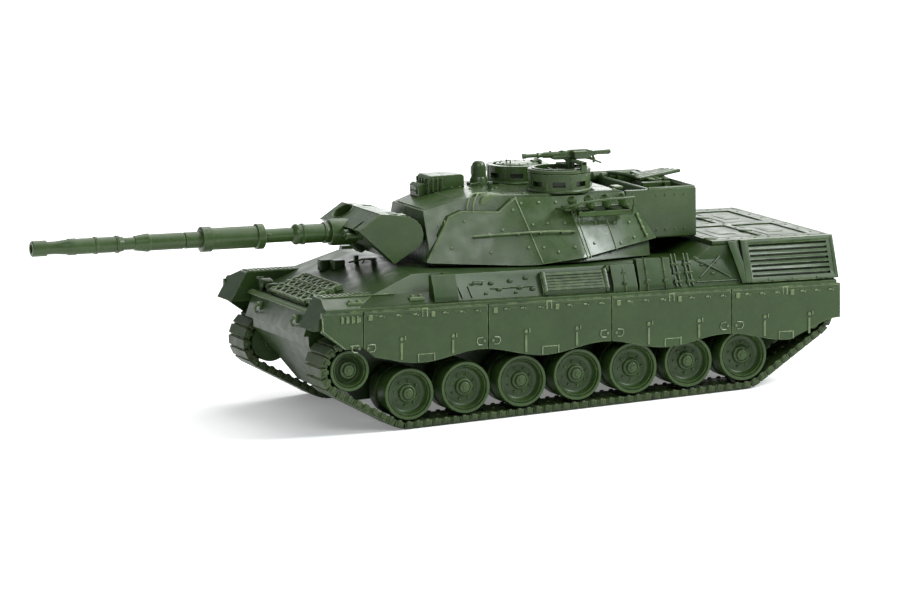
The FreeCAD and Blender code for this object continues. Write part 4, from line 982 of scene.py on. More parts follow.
# %% Fourteen wheels, each on its own axle
PITCH = 9.81
for number in range(7):
    for side, name in ((1, "left"), (-1, "right")):
        one = twin(wheel)
        one.data.transform(turn_about("Y", 37 * number, (10.3, 0, 5.8)))
        one.data.transform(Matrix.Translation((-PITCH * number, 0, 0)))
        if side < 0:
            mirrored(one)
        label = "wheel_%s_%d" % (name, number + 1)
        settle(one, "dished_" + label, label, olive_wheel, level_frame, "road_" + label)
bpy.data.objects.remove(wheel)
print("road wheels placed at 14 axles")

# %% [markdown]
# ## Idlers and sprockets
#
# The idler at the bow is a smaller dished wheel. The sprocket at the stern is a pair of toothed rings
# on a drum; its CAD shape already has the notches, so it only needs softened edges and bolts.

# %% Idlers and sprockets
idler = wheel_piece(20.3, 10.7, 3.38, 0, 1.7)
for side, name in ((1, "left"), (-1, "right")):
    one = twin(idler)
    if side < 0:
        mirrored(one)
    body = "idler_wheel_" + name
    settle(one, "dished_idler_" + name, body, olive_wheel, level_frame, "idler_" + name)
    hub = cast_from("sprocket_" + name, place=level_frame, edge=0.07, segments=1)
    bolts = []
    for index in range(8):
        angle = 2 * math.pi * index / 8
        spot = (-60.6 + 2.2 * cos(angle), side * 22.02, 11.7 + 2.2 * sin(angle))
        bolts.append((spot, (0, side, 0)))
    drum = joined([hub, studs(bolts, 0.22, 0.22)])
    settle(drum, "toothed_sprocket_" + name, "drive_" + name, olive_wheel, level_frame,
           "sprocket_" + name)
bpy.data.objects.remove(idler)

# %% [markdown]
# ## The tracks
#
# A track is a closed chain of flat pads round the idler, the road wheels and the sprocket. On the toy
# it is one moulded band, so it doesn't run, but each link shows: a flat pad outside, a
# connector lump on both ends and a guide tooth inside. One link is modelled flat, and its copies are
# laid along the belt line, which is straight between the wheels and round on them.

# %% The belt line
WHEELS = [(10.3, 5.8, 4.25), (20.3, 10.7, 3.38), (-60.6, 11.7, 3.08), (-48.56, 5.8, 4.25)]


def belt(radius_more):
    """The belt's straights and arcs at a height above the wheels, as a list of runs."""
    circles = [(x, z, r + radius_more) for x, z, r in WHEELS]
    straights = []
    for (x0, z0, r0), (x1, z1, r1) in zip(circles, circles[1:] + circles[:1]):
        course = math.atan2(z1 - z0, x1 - x0)
        out = course - math.pi / 2 + math.asin((r0 - r1) / math.hypot(x1 - x0, z1 - z0))
        straights.append((out, (x0 + r0 * cos(out), z0 + r0 * sin(out)),
                          (x1 + r1 * cos(out), z1 + r1 * sin(out))))
    runs = []
    for index, (out, start, stop) in enumerate(straights):
        runs.append(("line", start, stop, out))
        x, z, r = circles[(index + 1) % 4]
        leave = straights[(index + 1) % 4][0]
        while leave < out:
            leave += 2 * math.pi
        runs.append(("arc", (x, z), r, (out, leave)))
    return runs


def along(runs, distance):
    """The point and the outward angle at a distance along the belt."""
    for run in runs:
        if run[0] == "line":
            _, (x0, z0), (x1, z1), out = run
            length = math.hypot(x1 - x0, z1 - z0)
            if distance <= length:
                t = distance / length
                return x0 + (x1 - x0) * t, z0 + (z1 - z0) * t, out
        else:
            _, (x, z), r, (first, last) = run
            length = r * (last - first)
            if distance <= length:
                out = first + distance / r
                return x + r * cos(out), z + r * sin(out), out
        distance -= length
    return along(runs, 0.0)


def belt_length(runs):
    total = 0.0
    for run in runs:
        total += math.dist(run[1], run[2]) if run[0] == "line" else run[2] * (run[3][1] - run[3][0])
    return total


middle_line = belt(0.12 + 0.55)
LINKS = 118
STEP = belt_length(middle_line) / LINKS
print("belt", round(belt_length(middle_line), 1), "mm in", LINKS, "links of", round(STEP, 3), "mm")

# %% One link and the whole chain


def track_link():
    """A link at the origin: x along the belt, z outward."""
    half = STEP / 2
    pad = block((-half + 0.03, half - 0.03), (14.62, 22.1), (-0.3, 0.83), 0.06)
    web = block((-half - 0.12, half + 0.03), (15.0, 21.7), (-0.24, 0.62), 0)
    ends = [block((-0.5, 0.24), band, (-0.5, 0.5), 0.14) for band in ((14.32, 14.8), (21.9, 22.38))]
    nubs = [block((0.16, 0.56), band, (-0.1, 0.62), 0.1) for band in ((14.4, 14.8), (21.9, 22.3))]
    tooth = block((-0.3, 0.3), (18.15, 18.65), (-0.5, -0.25), 0.06)
    return joined([pad, web, *ends, *nubs, tooth])


def chain(side):
    link = track_link()
    places = []
    for index in range(LINKS):
        x, z, out = along(middle_line, (index + 0.5) * STEP)
        turn = Matrix.Rotation(math.pi / 2 - out, 4, "Y")
        places.append(Matrix.Translation((x, 0, z)) @ turn)
    print("link", faces_of(link), "triangles")
    band = copies(link, places)
    return mirrored(band) if side < 0 else band


for side, name in ((1, "left"), (-1, "right")):
    links_band = chain(side)
    low = min(v.co.z for v in links_band.data.vertices)
    print("track", name, faces_of(links_band), "triangles, lowest point", round(low, 3))
    settle(links_band, "track_chain_" + name, "hull", olive_track, level_frame, "track_" + name)
# %% [markdown]
# ## The turret shell and its bolted armour
#
# The cast shell has generous radii, so its CAD copy gets a wide bevel. The armour plates wrapped round
# it are flat with crisp edges. To place seams and bolts on a flank that slopes in two directions, the
# lesson repeats the flank as a small function: corners at the foot and at the head, joined by straight
# rulings, give the half width at any station and height.

# %% Where the armour's face is
FOOT = [(3.4, 11.9), (-13.8, 17.2), (-22.0, 17.7), (-36.9, 14.3)]
HEAD = [(0.4, 7.6), (-12.4, 12.0), (-21.6, 12.1), (-36.0, 12.0)]
CAST_FOOT = [(2.1, 10.8), (-13.5, 16.2), (-22.0, 16.7), (-35.5, 13.3)]
CAST_HEAD = [(2.1, 6.0), (-12.4, 11.0), (-21.6, 11.2), (-35.5, 11.0)]
FLANK_LOW, FLANK_RISE = 24.35, 10.85


def flank_v(foot, head, u, w):
    """Half width at station u and height w of a flank ruled between two outlines."""
    s = (w - FLANK_LOW) / FLANK_RISE
    ring = [(a[0] + (b[0] - a[0]) * s, a[1] + (b[1] - a[1]) * s) for a, b in zip(foot, head)]
    for (u0, v0), (u1, v1) in zip(ring, ring[1:]):
        if u >= u1 or (u1, v1) == ring[-1]:
            return v0 + (v1 - v0) * (u - u0) / (u1 - u0)


def armour_v(u, w):
    """Half width of the armour at station u and height w."""
    return flank_v(FOOT, HEAD, u, w)


def armour_out(u, w):
    """The armour's outward direction there."""
    slope_u = (armour_v(u + 0.05, w) - armour_v(u - 0.05, w)) / 0.1
    slope_w = (armour_v(u, w + 0.05) - armour_v(u, w - 0.05)) / 0.1
    return Vector((-slope_u, 1, -slope_w)).normalized()


def on_armour(u, w, proud=0.0):
    """A point on the armour, or a little proud of it."""
    return Vector((u, armour_v(u, w), w)) + armour_out(u, w) * proud


def cut_out(piece, tool):
    """Cut a tool's shape out of a piece and throw the tool away."""
    only(piece)
    knife = piece.modifiers.new("opening", "BOOLEAN")
    knife.operation = "DIFFERENCE"
    knife.object = tool
    knife.solver = "EXACT"
    bpy.ops.object.modifier_apply(modifier=knife.name)
    bpy.data.objects.remove(tool)
    return piece


shell = cast_from("turret_shell", edge=0.6, segments=3)
settle(shell, "cast_turret_shell", "turret", olive_turret, stands_for="turret_shell")
plates = cast_from("turret_armour")
bow_edge = [(4.2, 24.0), (3.2, 25.2), (-1.3, 32.1), (-3.4, 33.0), (-9.2, 32.8), (-12.6, 35.6),
            (-12.6, 37), (6, 37), (6, 24)]
stern_edge = [(-32.3, 37.0), (-32.4, 33.6), (-36.8, 26.6), (-39.0, 26.0), (-39.0, 37.0)]
for outline in (bow_edge, stern_edge):
    cut_out(plates, outline_plate(outline, "y", -19.5, 19.5, 0))
soften(plates, 0.12, 2)
settle(plates, "armour_plates", "turret", olive_turret, stands_for="turret_armour")

# %% [markdown]
# ## Armour relief
#
# Welded seams, bolt heads in rows, a long handrail on posts and a hinge strip at the rear are what
# make the turret's flank read as plated. This relief is a piece of its own with a lighter tone: a
# painted highlight, as raised details catch more light, and wear, as they are the first to be rubbed.

# %% Seams, bolts and the handrail
relief = []
for top, foot in (((-12.1, 35.0), (-14.9, 24.6)), ((-21.3, 33.2), (-22.9, 24.9)),
                  ((-21.9, 33.2), (-23.5, 25.0)), ((-27.5, 30.9), (-28.6, 25.9))):
    run = [on_armour(top[0] + (foot[0] - top[0]) * t / 6, top[1] + (foot[1] - top[1]) * t / 6, 0.02)
           for t in range(7)]
    relief.append(wire(run, 0.26))
edge_run = [on_armour(u, w, -0.02)
            for u, w in ((2.9, 25.3), (1.1, 28.0), (-0.4, 30.4), (-1.5, 32.0), (-3.6, 32.8))]
relief.append(wire(edge_run, 0.3))
edge_run = [on_armour(u, w, -0.02)
            for u, w in ((-3.6, 32.8), (-9.3, 32.6), (-11.0, 34.0), (-12.4, 35.0))]
relief.append(wire(edge_run, 0.26))
for u, w in ((-12.9, 34.0), (-16.0, 34.0), (-19.0, 33.9), (-11.5, 33.0), (-14.3, 30.6), (-16.9, 30.7),
             (-19.9, 30.6), (-9.4, 29.9), (-13.0, 27.1), (-15.5, 27.0), (-20.9, 26.8), (-17.9, 26.2),
             (-1.0, 27.2), (-3.7, 31.3), (-28.8, 30.1), (-31.6, 30.0), (-32.2, 27.6), (-29.6, 26.9),
             (-7.0, 26.4), (-24.6, 27.2),
             (-25.4, 30.4)):
    relief.append(studs([(on_armour(u, w), armour_out(u, w))], 0.3, 0.26))
hinge = [on_armour(u, w, 0.1) for u, w in ((-33.2, 31.2), (-33.8, 29.6), (-34.6, 27.5))]
relief.append(wire(hinge, 0.4))
for u, w in ((-33.2, 31.2), (-33.6, 30.1), (-34.0, 29.0), (-34.5, 27.8)):
    relief.append(studs([(on_armour(u, w, 0.15), armour_out(u, w))], 0.3, 0.3))
rail_run = [on_armour(u, w, 0.62)
            for u, w in ((-4.6, 28.8), (-8.0, 29.0), (-11.7, 29.2), (-14.2, 29.3), (-18.0, 29.25),
                  (-21.1, 29.1))]
relief.append(wire([on_armour(-4.6, 28.8), *rail_run, on_armour(-21.3, 29.1)], 0.3))
for u in (-7.2, -11.7, -15.2, -19.0):
    relief.append(wire([on_armour(u, 29.15), on_armour(u, 29.15, 0.7)], 0.34))
for index in range(3):
    spot = on_armour(0.4 - 0.5 * index, 31.0 + 0.12 * index)
    relief.append(wire([spot + Vector((0, 0, -0.35)), spot + Vector((0, 0.05, 0.35))], 0.2))
settle(both_sides(joined(relief)), "armour_relief", "turret", olive_relief_worn_and_highlit)

# %% Lifting ribs and roof lines
ribs = []
for back, wide in ((0.0, 0.5), (-0.95, 0.45)):
    arc = [(-4.5, 31.2, 0.1), (-4.6, 32.4, 0.16), (-4.8, 33.7, 0.16), (-5.3, 34.7, 0.12)]
    arc = [(u + back, flank_v(CAST_FOOT, CAST_HEAD, u + back, w) + out, w) for u, w, out in arc]
    arc += [(-6.3 + back, 7.9, 35.3), (-7.6 + back, 7.6, 35.35), (-8.9 + back, 7.7, 35.0)]
    ribs.append(wire(arc, wide))
fairing = [(-6.6, 32.2), (-6.7, 34.3), (-7.4, 35.2), (-8.8, 35.5), (-10.6, 35.4), (-12.2, 34.4),
           (-12.4, 33.0)]
ribs.append(outline_plate(fairing, "y", 7.0, 9.9, 0.7, 3))
roof_bits = both_sides(joined(ribs))
lines = [wire([(-15.0, -9.4, 35.22), (-16.6, 2.6, 35.22)], 0.22),
         wire([(-3.6, 5.5, 34.62), (-3.6, -5.5, 34.62)], 0.2)]
lines.append(wire([(1.6, 5.6, 33.1), (1.6, -5.6, 33.1)], 0.24))
lines += [block((-32.5, -31.0), (v - 1.2, v + 1.2), (35.0, 35.5), 0.16, 2) for v in (-8.4, 8.0)]
lines.append(block((-30.0, -26.6), (-2.0, 2.0), (35.1, 35.55), 0.2, 2))
lines.append(studs([((u, v, 35.2), (0, 0, 1))
                    for u, v in ((-14.6, 9.6), (-9.4, 8.8), (-9.0, 0.0), (-13.4, 0.6), (-26.8, 9.9),
                          (-30.4, 10.1), (-29.0, -9.8))], 0.32, 0.24))
settle(joined([roof_bits, *lines]), "roof_ribs_and_lines", "turret", olive_relief_worn_and_highlit)

# %% [markdown]
# ## The stowage bin and what it holds
#
# Behind the turret an open bin holds planks and rolled covers. The bin is sheet metal on the real
# vehicle, thick moulded wall here, with a tube round its rim and bolts at its foot. The load is drawn
# as separate planks, tilted against each other, and two rolls tied with straps.

# %% Bin and rim
bin_shell = cast_from("bustle_basket", edge=0.3, segments=3)
bits = [bin_shell]
rim = [(-35.7, 12.2, 35.2), (-43.6, 12.2, 35.2), (-43.95, 11.8, 35.2), (-43.95, -11.8, 35.2),
       (-43.6, -12.2, 35.2), (-35.7, -12.2, 35.2)]
bits.append(wire(rim, 0.5, 8))
places = []
for side in (1, -1):
    places += [((u, side * 12.5, w), (0, side, 0)) for u in (-37.0, -38.6, -40.3, -42.0)
               for w in (28.4, 34.1)]
places += [((-44.2, v, w), (-1, 0, 0)) for v in (-10.5, -6.3, -2.1, 2.1, 6.3, 10.5)
           for w in (28.4, 34.1)]
bits.append(studs(places, 0.26, 0.22))
for v in (-8.4, 0.0, 8.4):
    bits.append(block((-44.42, -44.0), (v - 0.4, v + 0.4), (27.6, 34.9), 0.12))
cheek = [(-35.9, 27.0), (-35.0, 28.2), (-31.7, 33.4), (-31.5, 35.1), (-35.9, 35.1)]
for side in (1, -1):
    low, high = sorted((side * 11.6, side * 12.5))
    bits.append(outline_plate(cheek, "y", low, high, 0.16, 2))
settle(joined(bits), "stowage_bin", "turret", olive_turret, stands_for="bustle_basket")

# %% Planks and rolls
load = []
for index in range(4):
    plank = block((-42.8 + 1.5 * index, -41.45 + 1.5 * index), (-11.2, 11.2), (28.0, 31.4), 0.16, 2)
    load.append(plank)
for index in range(4):
    board = block((-44.9 - 0.4 * index, -38.6), (-3.2 + 1.3 * index, -2.1 + 1.3 * index), (35.2, 35.75),
                  0.12)
    board.data.transform(turn_about("Y", 9, (-38.6, 0, 35.2)))
    load.append(board)
load.append(rod("x", -42.6, -34.4, 0.95, (-9.6, 34.9), 0.3, 20))
load.append(rod("x", -42.2, -35.4, 0.7, (-7.9, 35.1), 0.25, 18))
for index in range(3):
    board = block((-43.3 + 1.3 * index, -42.2 + 1.3 * index), (-5.0, 3.4), (35.3, 35.9), 0.12)
    board.data.transform(turn_about("X", -3, (-41, 0, 35.6)))
    load.append(board)
load.append(block((-42.6, -37.6), (-6.4, -5.2), (33.2, 35.4), 0.2, 2))
load.append(block((-42.6, -37.6), (4.2, 5.4), (33.2, 35.4), 0.2, 2))
for u, w, r in ((-41.2, 32.7, 1.9), (-38.1, 32.5, 1.6)):
    half = 11.2 if r > 1.7 else 10.6
    section = [(-half, 0.0), (-half - 0.1, r * 0.5), (-half + 0.2, r * 0.92)]
    for index in range(1, 12):
        place = -half + 2 * half * index / 12
        section.append((place, r * (0.97 if index % 2 else 1.0)))
    section += [(half - 0.2, r * 0.92), (half + 0.1, r * 0.5), (half, 0.0)]
    load.append(lathe(section, "y", (u, w), 24))
for v in (-7.0, -0.5, 6.5):
    ring = [(-41.2 + 1.98 * cos(a * math.pi / 8), v, 32.7 + 1.98 * sin(a * math.pi / 8))
            for a in range(16)]
    load.append(wire(ring, 0.3, 6, closed=True))
tarp = [(-36.6, -11.0, 35.25), (-37.0, -7.0, 35.75), (-38.0, -3.0, 35.8), (-39.6, 1.0, 35.4),
        (-41.6, 6.0, 35.1)]
load.append(wire(tarp, 0.7, 8))
settle(joined(load), "planks_and_rolls", "turret", olive_turret, stands_for="bustle_load")

# %% [markdown]
# ## Cupolas
#
# Both hatches are drums with dark vision slots. The CAD drum already has the slots as real recesses,
# so its copy keeps them. A hinge, a handle, a ring of studs and periscope hoods are added. The lids
# stay shut.

# %% Both cupolas
for node, u, v, top, name in (("loader_cupola", -22.0, 7.0, 38.2, "loader_hatch"),
                              ("commander_cupola", -20.2, -7.0, 38.2, "commander_hatch")):
    bits = [cast_from(node, edge=0.12)]
    hatch = [(top - 0.3, 0.0), (top - 0.3, 3.5), (top - 0.12, 3.62), (top + 0.06, 3.5),
             (top + 0.16, 3.0), (top + 0.2, 1.0), (top + 0.2, 0.0)]
    bits.append(lathe(hatch, "z", (u, v), 40))
    bits.append(wire([(u + 1.6, v - 0.9, top + 0.15), (u + 1.6, v - 0.9, top + 0.55),
                      (u + 1.6, v + 0.9, top + 0.55), (u + 1.6, v + 0.9, top + 0.15)], 0.24))
    bits.append(block((u - 3.9, u - 2.6), (v - 0.8, v + 0.8), (top - 0.2, top + 0.42), 0.12, 2))
    bits.append(rod("y", v - 1.2, v + 1.2, 0.3, (u - 3.7, top + 0.3), 0.06, 12))
    spots = []
    for index in range(12):
        angle = 2 * math.pi * index / 12 + 0.26
        spots.append(((u + 2.9 * cos(angle), v + 2.9 * sin(angle), top + 0.14), (0, 0, 1)))
    bits.append(studs(spots, 0.2, 0.18, 6))
    skirt_ring = [(35.1, 5.0), (35.1, 5.42), (35.32, 5.5), (35.55, 5.42), (35.7, 5.18), (35.7, 5.0),
                  (35.1, 5.0)]
    bits.append(lathe(skirt_ring, "z", (u, v), 48))
    for index in range(8):
        angle = math.pi / 4 * index
        seam_spot = (u + 5.2 * cos(angle), v + 5.2 * sin(angle))
        bits.append(wire([(*seam_spot, 35.6), (*seam_spot, 37.9)], 0.2))
    settle(joined(bits), name, "turret", olive_turret, stands_for=node)

# %% [markdown]
# ## Sights on the roof
#
# At the front of the roof sits a stepped, armoured sight housing with chamfered corners and a door on
# its face. Behind it stand a domed periscope and a stub post. The housing is two outlines extruded
# across the roof; the dome is turned.

# %% Sight housing, dome and post
sights = []
big = [(-9.0, 34.6), (-2.4, 34.2), (-2.7, 36.9), (-3.1, 37.3), (-8.6, 37.4), (-9.0, 37.1)]
sights.append(outline_plate(big, "y", -8.0, -2.6, 0.14, 2))
small = [(-3.4, 34.2), (-1.2, 33.7), (-1.1, 35.6), (-1.6, 36.05), (-3.4, 36.1)]
sights.append(outline_plate(small, "y", -7.4, -3.2, 0.1, 2))
sights.append(block((-1.3, -0.95), (-6.8, -3.8), (34.3, 35.6), 0.12))
for u in (-3.4, -4.2, -5.0):
    sights.append(block((u - 0.16, u + 0.16), (-2.8, -2.3), (34.7, 36.9), 0.06))
for v in (-7.4, -6.2, -5.0, -3.8):
    sights.append(block((-2.75, -2.35), (v - 0.16, v + 0.16), (36.1, 36.9), 0.06))
sights.append(studs([((-0.95, v, 34.8), (1, 0, 0)) for v in (-6.2, -5.3, -4.4)], 0.24, 0.2))
sights.append(studs([((u, -2.6, 35.2), (0, 1, 0)) for u in (-8.2, -6.8, -5.4, -4.0)], 0.24, 0.2))
sights.append(block((-9.3, -8.9), (-7.0, -3.6), (34.9, 36.2), 0.12))
cap = [(34.2, 0.0), (34.2, 1.75), (34.9, 1.7), (36.2, 1.45), (36.5, 1.28), (36.7, 1.25), (38.2, 1.2),
       (38.8, 1.02), (39.1, 0.7), (39.2, 0.3), (39.2, 0.0)]
sights.append(lathe(cap, "z", (-12.5, -5.0), 32))
sights.append(block((-11.6, -11.2), (-5.5, -4.5), (36.9, 38.4), 0.1))
sights.append(block((-14.2, -10.8), (-6.4, -3.6), (34.8, 35.7), 0.25, 2))
stub = [(34.8, 0.0), (34.8, 0.75), (35.3, 0.7), (35.4, 0.4), (36.2, 0.36), (36.3, 0.5), (36.55, 0.42),
        (36.6, 0.0)]
sights.append(lathe(stub, "z", (-11.5, 2.5), 18))
sights.append(wire([(-9.6, -1.6, 35.2), (-9.8, -1.6, 35.8), (-11.4, -1.2, 36.0), (-11.6, -1.2, 35.2)],
                   0.26))
settle(joined(sights), "roof_optics", "turret", olive_turret, stands_for="roof_sights")

# %% [markdown]
# ## Smoke dischargers
#
# Four short launcher tubes sit on a rail on each flank, behind a bent guard. A tube is turned with its
# cap and rings, tipped outward and forward, and copied along the rail.

# %% Launchers, rail and guard
aim = Vector((0.45, 0.5, 0.72)).normalized()
tip_over = aim.to_track_quat("Z", "Y").to_matrix().to_4x4()
tube = [(-0.2, 0.0), (-0.2, 0.62), (0.4, 0.66), (0.5, 0.74), (0.9, 0.74), (1.0, 0.66), (1.7, 0.66),
        (1.85, 0.75), (2.45, 0.75), (2.6, 0.66), (2.62, 0.45), (2.45, 0.4), (2.45, 0.0)]
launchers = copies(lathe(tube, "z", (0, 0), 18),
                   [Matrix.Translation((-30.4 + 2.9 * i, 14.5, 32.9)) @ tip_over for i in range(4)])
bank = [launchers]
shelf = [(13.9, 32.6), (14.9, 32.6), (14.9, 33.1), (14.6, 33.3), (13.9, 33.3)]
bank.append(outline_plate(shelf, "x", -31.2, -19.8, 0.08))
bank.append(outline_plate([(15.6, 31.6), (16.1, 31.7), (16.0, 32.5), (15.5, 32.4)], "x", -31.4, -21.8,
                          0.08))
for u in (-29.5, -25.0, -21.0):
    bank.append(block((u, u + 1.2), (12.7, 14.2), (32.6, 33.3), 0.08))
for u in (-31.0, -22.2):
    bank.append(block((u - 0.2, u + 0.2), (14.4, 16.0), (31.8, 32.6), 0.06))
for index in range(4):
    u = -30.2 + 2.9 * index
    bank.append(wire([(u, 14.5, 32.7), (u + 0.2, 15.3, 32.2), (u + 0.5, 15.9, 32.1)], 0.28))
guard = [(-18.7, 13.6, 32.9), (-18.9, 16.2, 33.2), (-19.8, 17.0, 33.7), (-22.6, 17.2, 34.2),
         (-27.0, 17.2, 34.5), (-31.1, 17.0, 34.6), (-31.2, 16.9, 33.6), (-31.2, 15.8, 31.9)]
bank.append(wire(guard, 0.42, 8))
dischargers = both_sides(joined(bank))
settle(dischargers, "smoke_launchers", "turret", olive_turret, stands_for="smoke_dischargers")

# %% [markdown]
# ## The roof machine gun
#
# The gun rides on a ring that turns round the loader's hatch. Its parts are small but they make the
# silhouette: receiver with a raised cover, jacketed barrel, front sight, grips, ammunition box, cradle
# and a hoop behind it. Everything rides on the body that swivels.

# %% Ring, mount and gun
gun = []
skate = [(38.26, 4.62), (38.26, 5.12), (38.34, 5.2), (38.78, 5.2), (38.86, 5.1), (38.86, 4.72),
         (38.8, 4.62), (38.26, 4.62)]
gun.append(lathe(skate, "z", (-22.0, 7.0), 64))
gun.append(block((-24.9, -23.9), (11.3, 12.05), (38.5, 40.2), 0.14, 2))
gun.append(block((-24.9, -23.9), (5.6, 12.05), (39.6, 40.15), 0.12, 2))
cradle = [(-27.4, 40.0), (-21.4, 40.1), (-20.8, 40.4), (-21.2, 40.75), (-27.6, 40.7), (-28.0, 40.3)]
gun.append(outline_plate(cradle, "y", 5.3, 6.7, 0.12))
body = [(-28.6, 40.45), (-22.0, 40.5), (-21.9, 41.2), (-23.6, 41.35), (-24.2, 41.62), (-27.2, 41.6),
        (-28.4, 41.3)]
gun.append(outline_plate(body, "y", 5.5, 6.5, 0.12))
barrel = [(-22.3, 0.0), (-22.3, 0.48), (-21.9, 0.54), (-19.6, 0.5), (-19.4, 0.38), (-18.9, 0.38),
          (-18.8, 0.47)]
barrel += [(-18.5, 0.47), (-18.4, 0.33), (-16.6, 0.33), (-16.5, 0.44), (-15.95, 0.46), (-15.9, 0.3),
           (-15.9, 0.0)]
gun.append(lathe(barrel, "x", (6.0, 40.9), 16))
gun.append(block((-21.0, -20.6), (5.85, 6.15), (41.1, 41.6), 0.06))
gun.append(wire([(-21.7, 6.0, 41.1), (-22.8, 6.0, 41.45), (-23.6, 6.0, 41.3)], 0.34))
butt = [(-31.6, 40.75), (-31.2, 40.55), (-29.4, 40.6), (-28.5, 40.5), (-28.5, 41.25), (-30.0, 41.3),
        (-31.5, 41.35)]
gun.append(outline_plate(butt, "y", 5.7, 6.3, 0.12))
gun.append(rod("x", -31.5, -30.9, 0.34, (6.0, 41.0), 0.08, 12))
gun.append(wire([(-28.3, 6.0, 40.6), (-28.8, 6.0, 39.6), (-28.4, 6.0, 39.35)], 0.42))
gun.append(block((-26.8, -24.4), (6.5, 7.9), (40.2, 41.45), 0.2, 2))
gun.append(block((-26.2, -25.0), (4.3, 5.5), (40.5, 41.3), 0.16, 2))
hoop = [(-29.6, 4.6, 38.8), (-29.2, 4.7, 39.7), (-27.9, 5.4, 40.2), (-27.0, 6.0, 40.1),
        (-27.6, 7.2, 40.0), (-29.2, 7.8, 39.4), (-29.8, 7.9, 38.8)]
gun.append(wire(hoop[1:-1], 0.3))
for side in (-0.9, 0.9):
    gun.append(wire([(-24.4, 6 + side, 38.9), (-24.2, 6 + side, 39.5), (-23.4, 6 + side * 0.8, 40.2)],
                    0.3))
gun.append(block((-24.9, -23.8), (5.3, 6.7), (38.4, 39.9), 0.14, 2))
gun.append(block((-25.6, -23.4), (1.9, 2.6), (38.4, 39.2), 0.12))
settle(joined(gun), "roof_machine_gun", "roof_gun", olive_turret, stands_for="machine_gun")
# %% [markdown]
# ## The gun shield
#
# The shield is a wedge across the front of the turret: flat cheeks, a sloped top with an oval opening
# for the sight, a notch in its front edge, and a rounded throat where the barrel comes out. Its side
# view is extruded across the gun. The oval and the slots for the turret's ears are cut with a boolean,
# whose tool is a stretched cylinder: quicker and cleaner than cutting the faces by hand.

# %% Shield with its openings


def plain_block(u, v, w):
    clear()
    bpy.ops.mesh.primitive_cube_add(size=1,
                                    location=((u[0] + u[1]) / 2, (v[0] + v[1]) / 2, (w[0] + w[1]) / 2))
    tool = bpy.context.object
    tool.scale = (u[1] - u[0], v[1] - v[0], w[1] - w[0])
    return apply_place(tool)


profile = [(14.1, 30.5), (10.3, 33.0), (6.6, 32.6), (5.0, 32.2), (3.9, 31.6), (3.1, 30.6), (2.75, 29.4)]
profile += [(2.95, 28.3), (3.6, 27.3), (7.8, 24.75)]
shield = outline_plate(profile, "y", -9.0, 9.0, 0)
clear()
bpy.ops.mesh.primitive_cylinder_add(vertices=28, radius=1, depth=3.0, location=(11.7, -4.6, 32.2),
                                    rotation=(0, radians(33), 0))
oval = bpy.context.object
oval.scale = (1.75, 2.5, 1)
cut_out(shield, apply_place(oval))
for side in (1, -1):
    cut_out(shield, plain_block((2.0, 7.9), sorted((side * 4.7, side * 6.3)), (26.3, 32.9)))
notch = plain_block((12.3, 14.9), (6.2, 7.1), (30.2, 32.4))
cut_out(shield, notch)
cut_out(shield, plain_block((7.2, 14.6), (-6.3, 6.3), (24.0, 27.1)))
soften(shield, 0.14, 2)
parts = [shield]
throat = [(11.5, 0.0), (11.5, 2.55), (14.2, 2.5), (15.2, 2.3), (15.9, 2.05), (16.0, 1.8), (16.0, 1.22),
          (12.0, 1.22), (12.0, 0.0)]
throat = [(a, min(r, 2.18)) for a, r in throat]
parts.append(lathe(throat, "x", (0, 29.3), 40))
for v, w in ((4.3, 29.6), (5.5, 29.2)):
    coax = [(11.5, 0.0), (11.5, 0.62), (14.9, 0.6), (15.0, 0.5), (15.0, 0.28), (14.4, 0.25),
            (14.4, 0.0)]
    parts.append(lathe(coax, "x", (v, w), 16))
for side in (1, -1):
    parts.append(wire([(14.05, side * 9.0, 30.4), (10.35, side * 9.0, 32.85)], 0.2))
    parts.append(wire([(10.4, side * 8.9, 32.9), (5.0, side * 8.9, 32.25)], 0.16))
parts.append(wire([(10.3, 8.8, 33.0), (10.3, -8.8, 33.0)], 0.16))
lip = []
for index in range(24):
    angle = 2 * math.pi * index / 24
    along_slope, across = 1.8 * cos(angle), 2.55 * sin(angle)
    lip.append((11.7 + along_slope * 0.835, -4.6 + across, 32.12 - along_slope * 0.55))
parts.append(wire(lip, 0.22, 6, closed=True))
for u, v, w in ((6.4, 8.0, 32.6), (6.4, 6.9, 32.6), (7.8, 7.6, 32.8)):
    parts.append(block((u - 0.9, u + 0.5), (v - 0.45, v + 0.45), (w - 0.5, w + 0.05), 0.1))
parts.append(studs([((8.9, 9.0, 25.9), (0, 1, 0))], 0.3, 0.2))
settle(joined(parts), "gun_shield", "gun", olive_turret, stands_for="mantlet")

# %% [markdown]
# ## The barrel
#
# The barrel is a turning with sleeves, clamps and a fume extractor. Spinning its outline again with
# more steps makes the collars crisp; clamp screws and the seams of the thermal
# sleeve follow. The bore is left open at the muzzle.

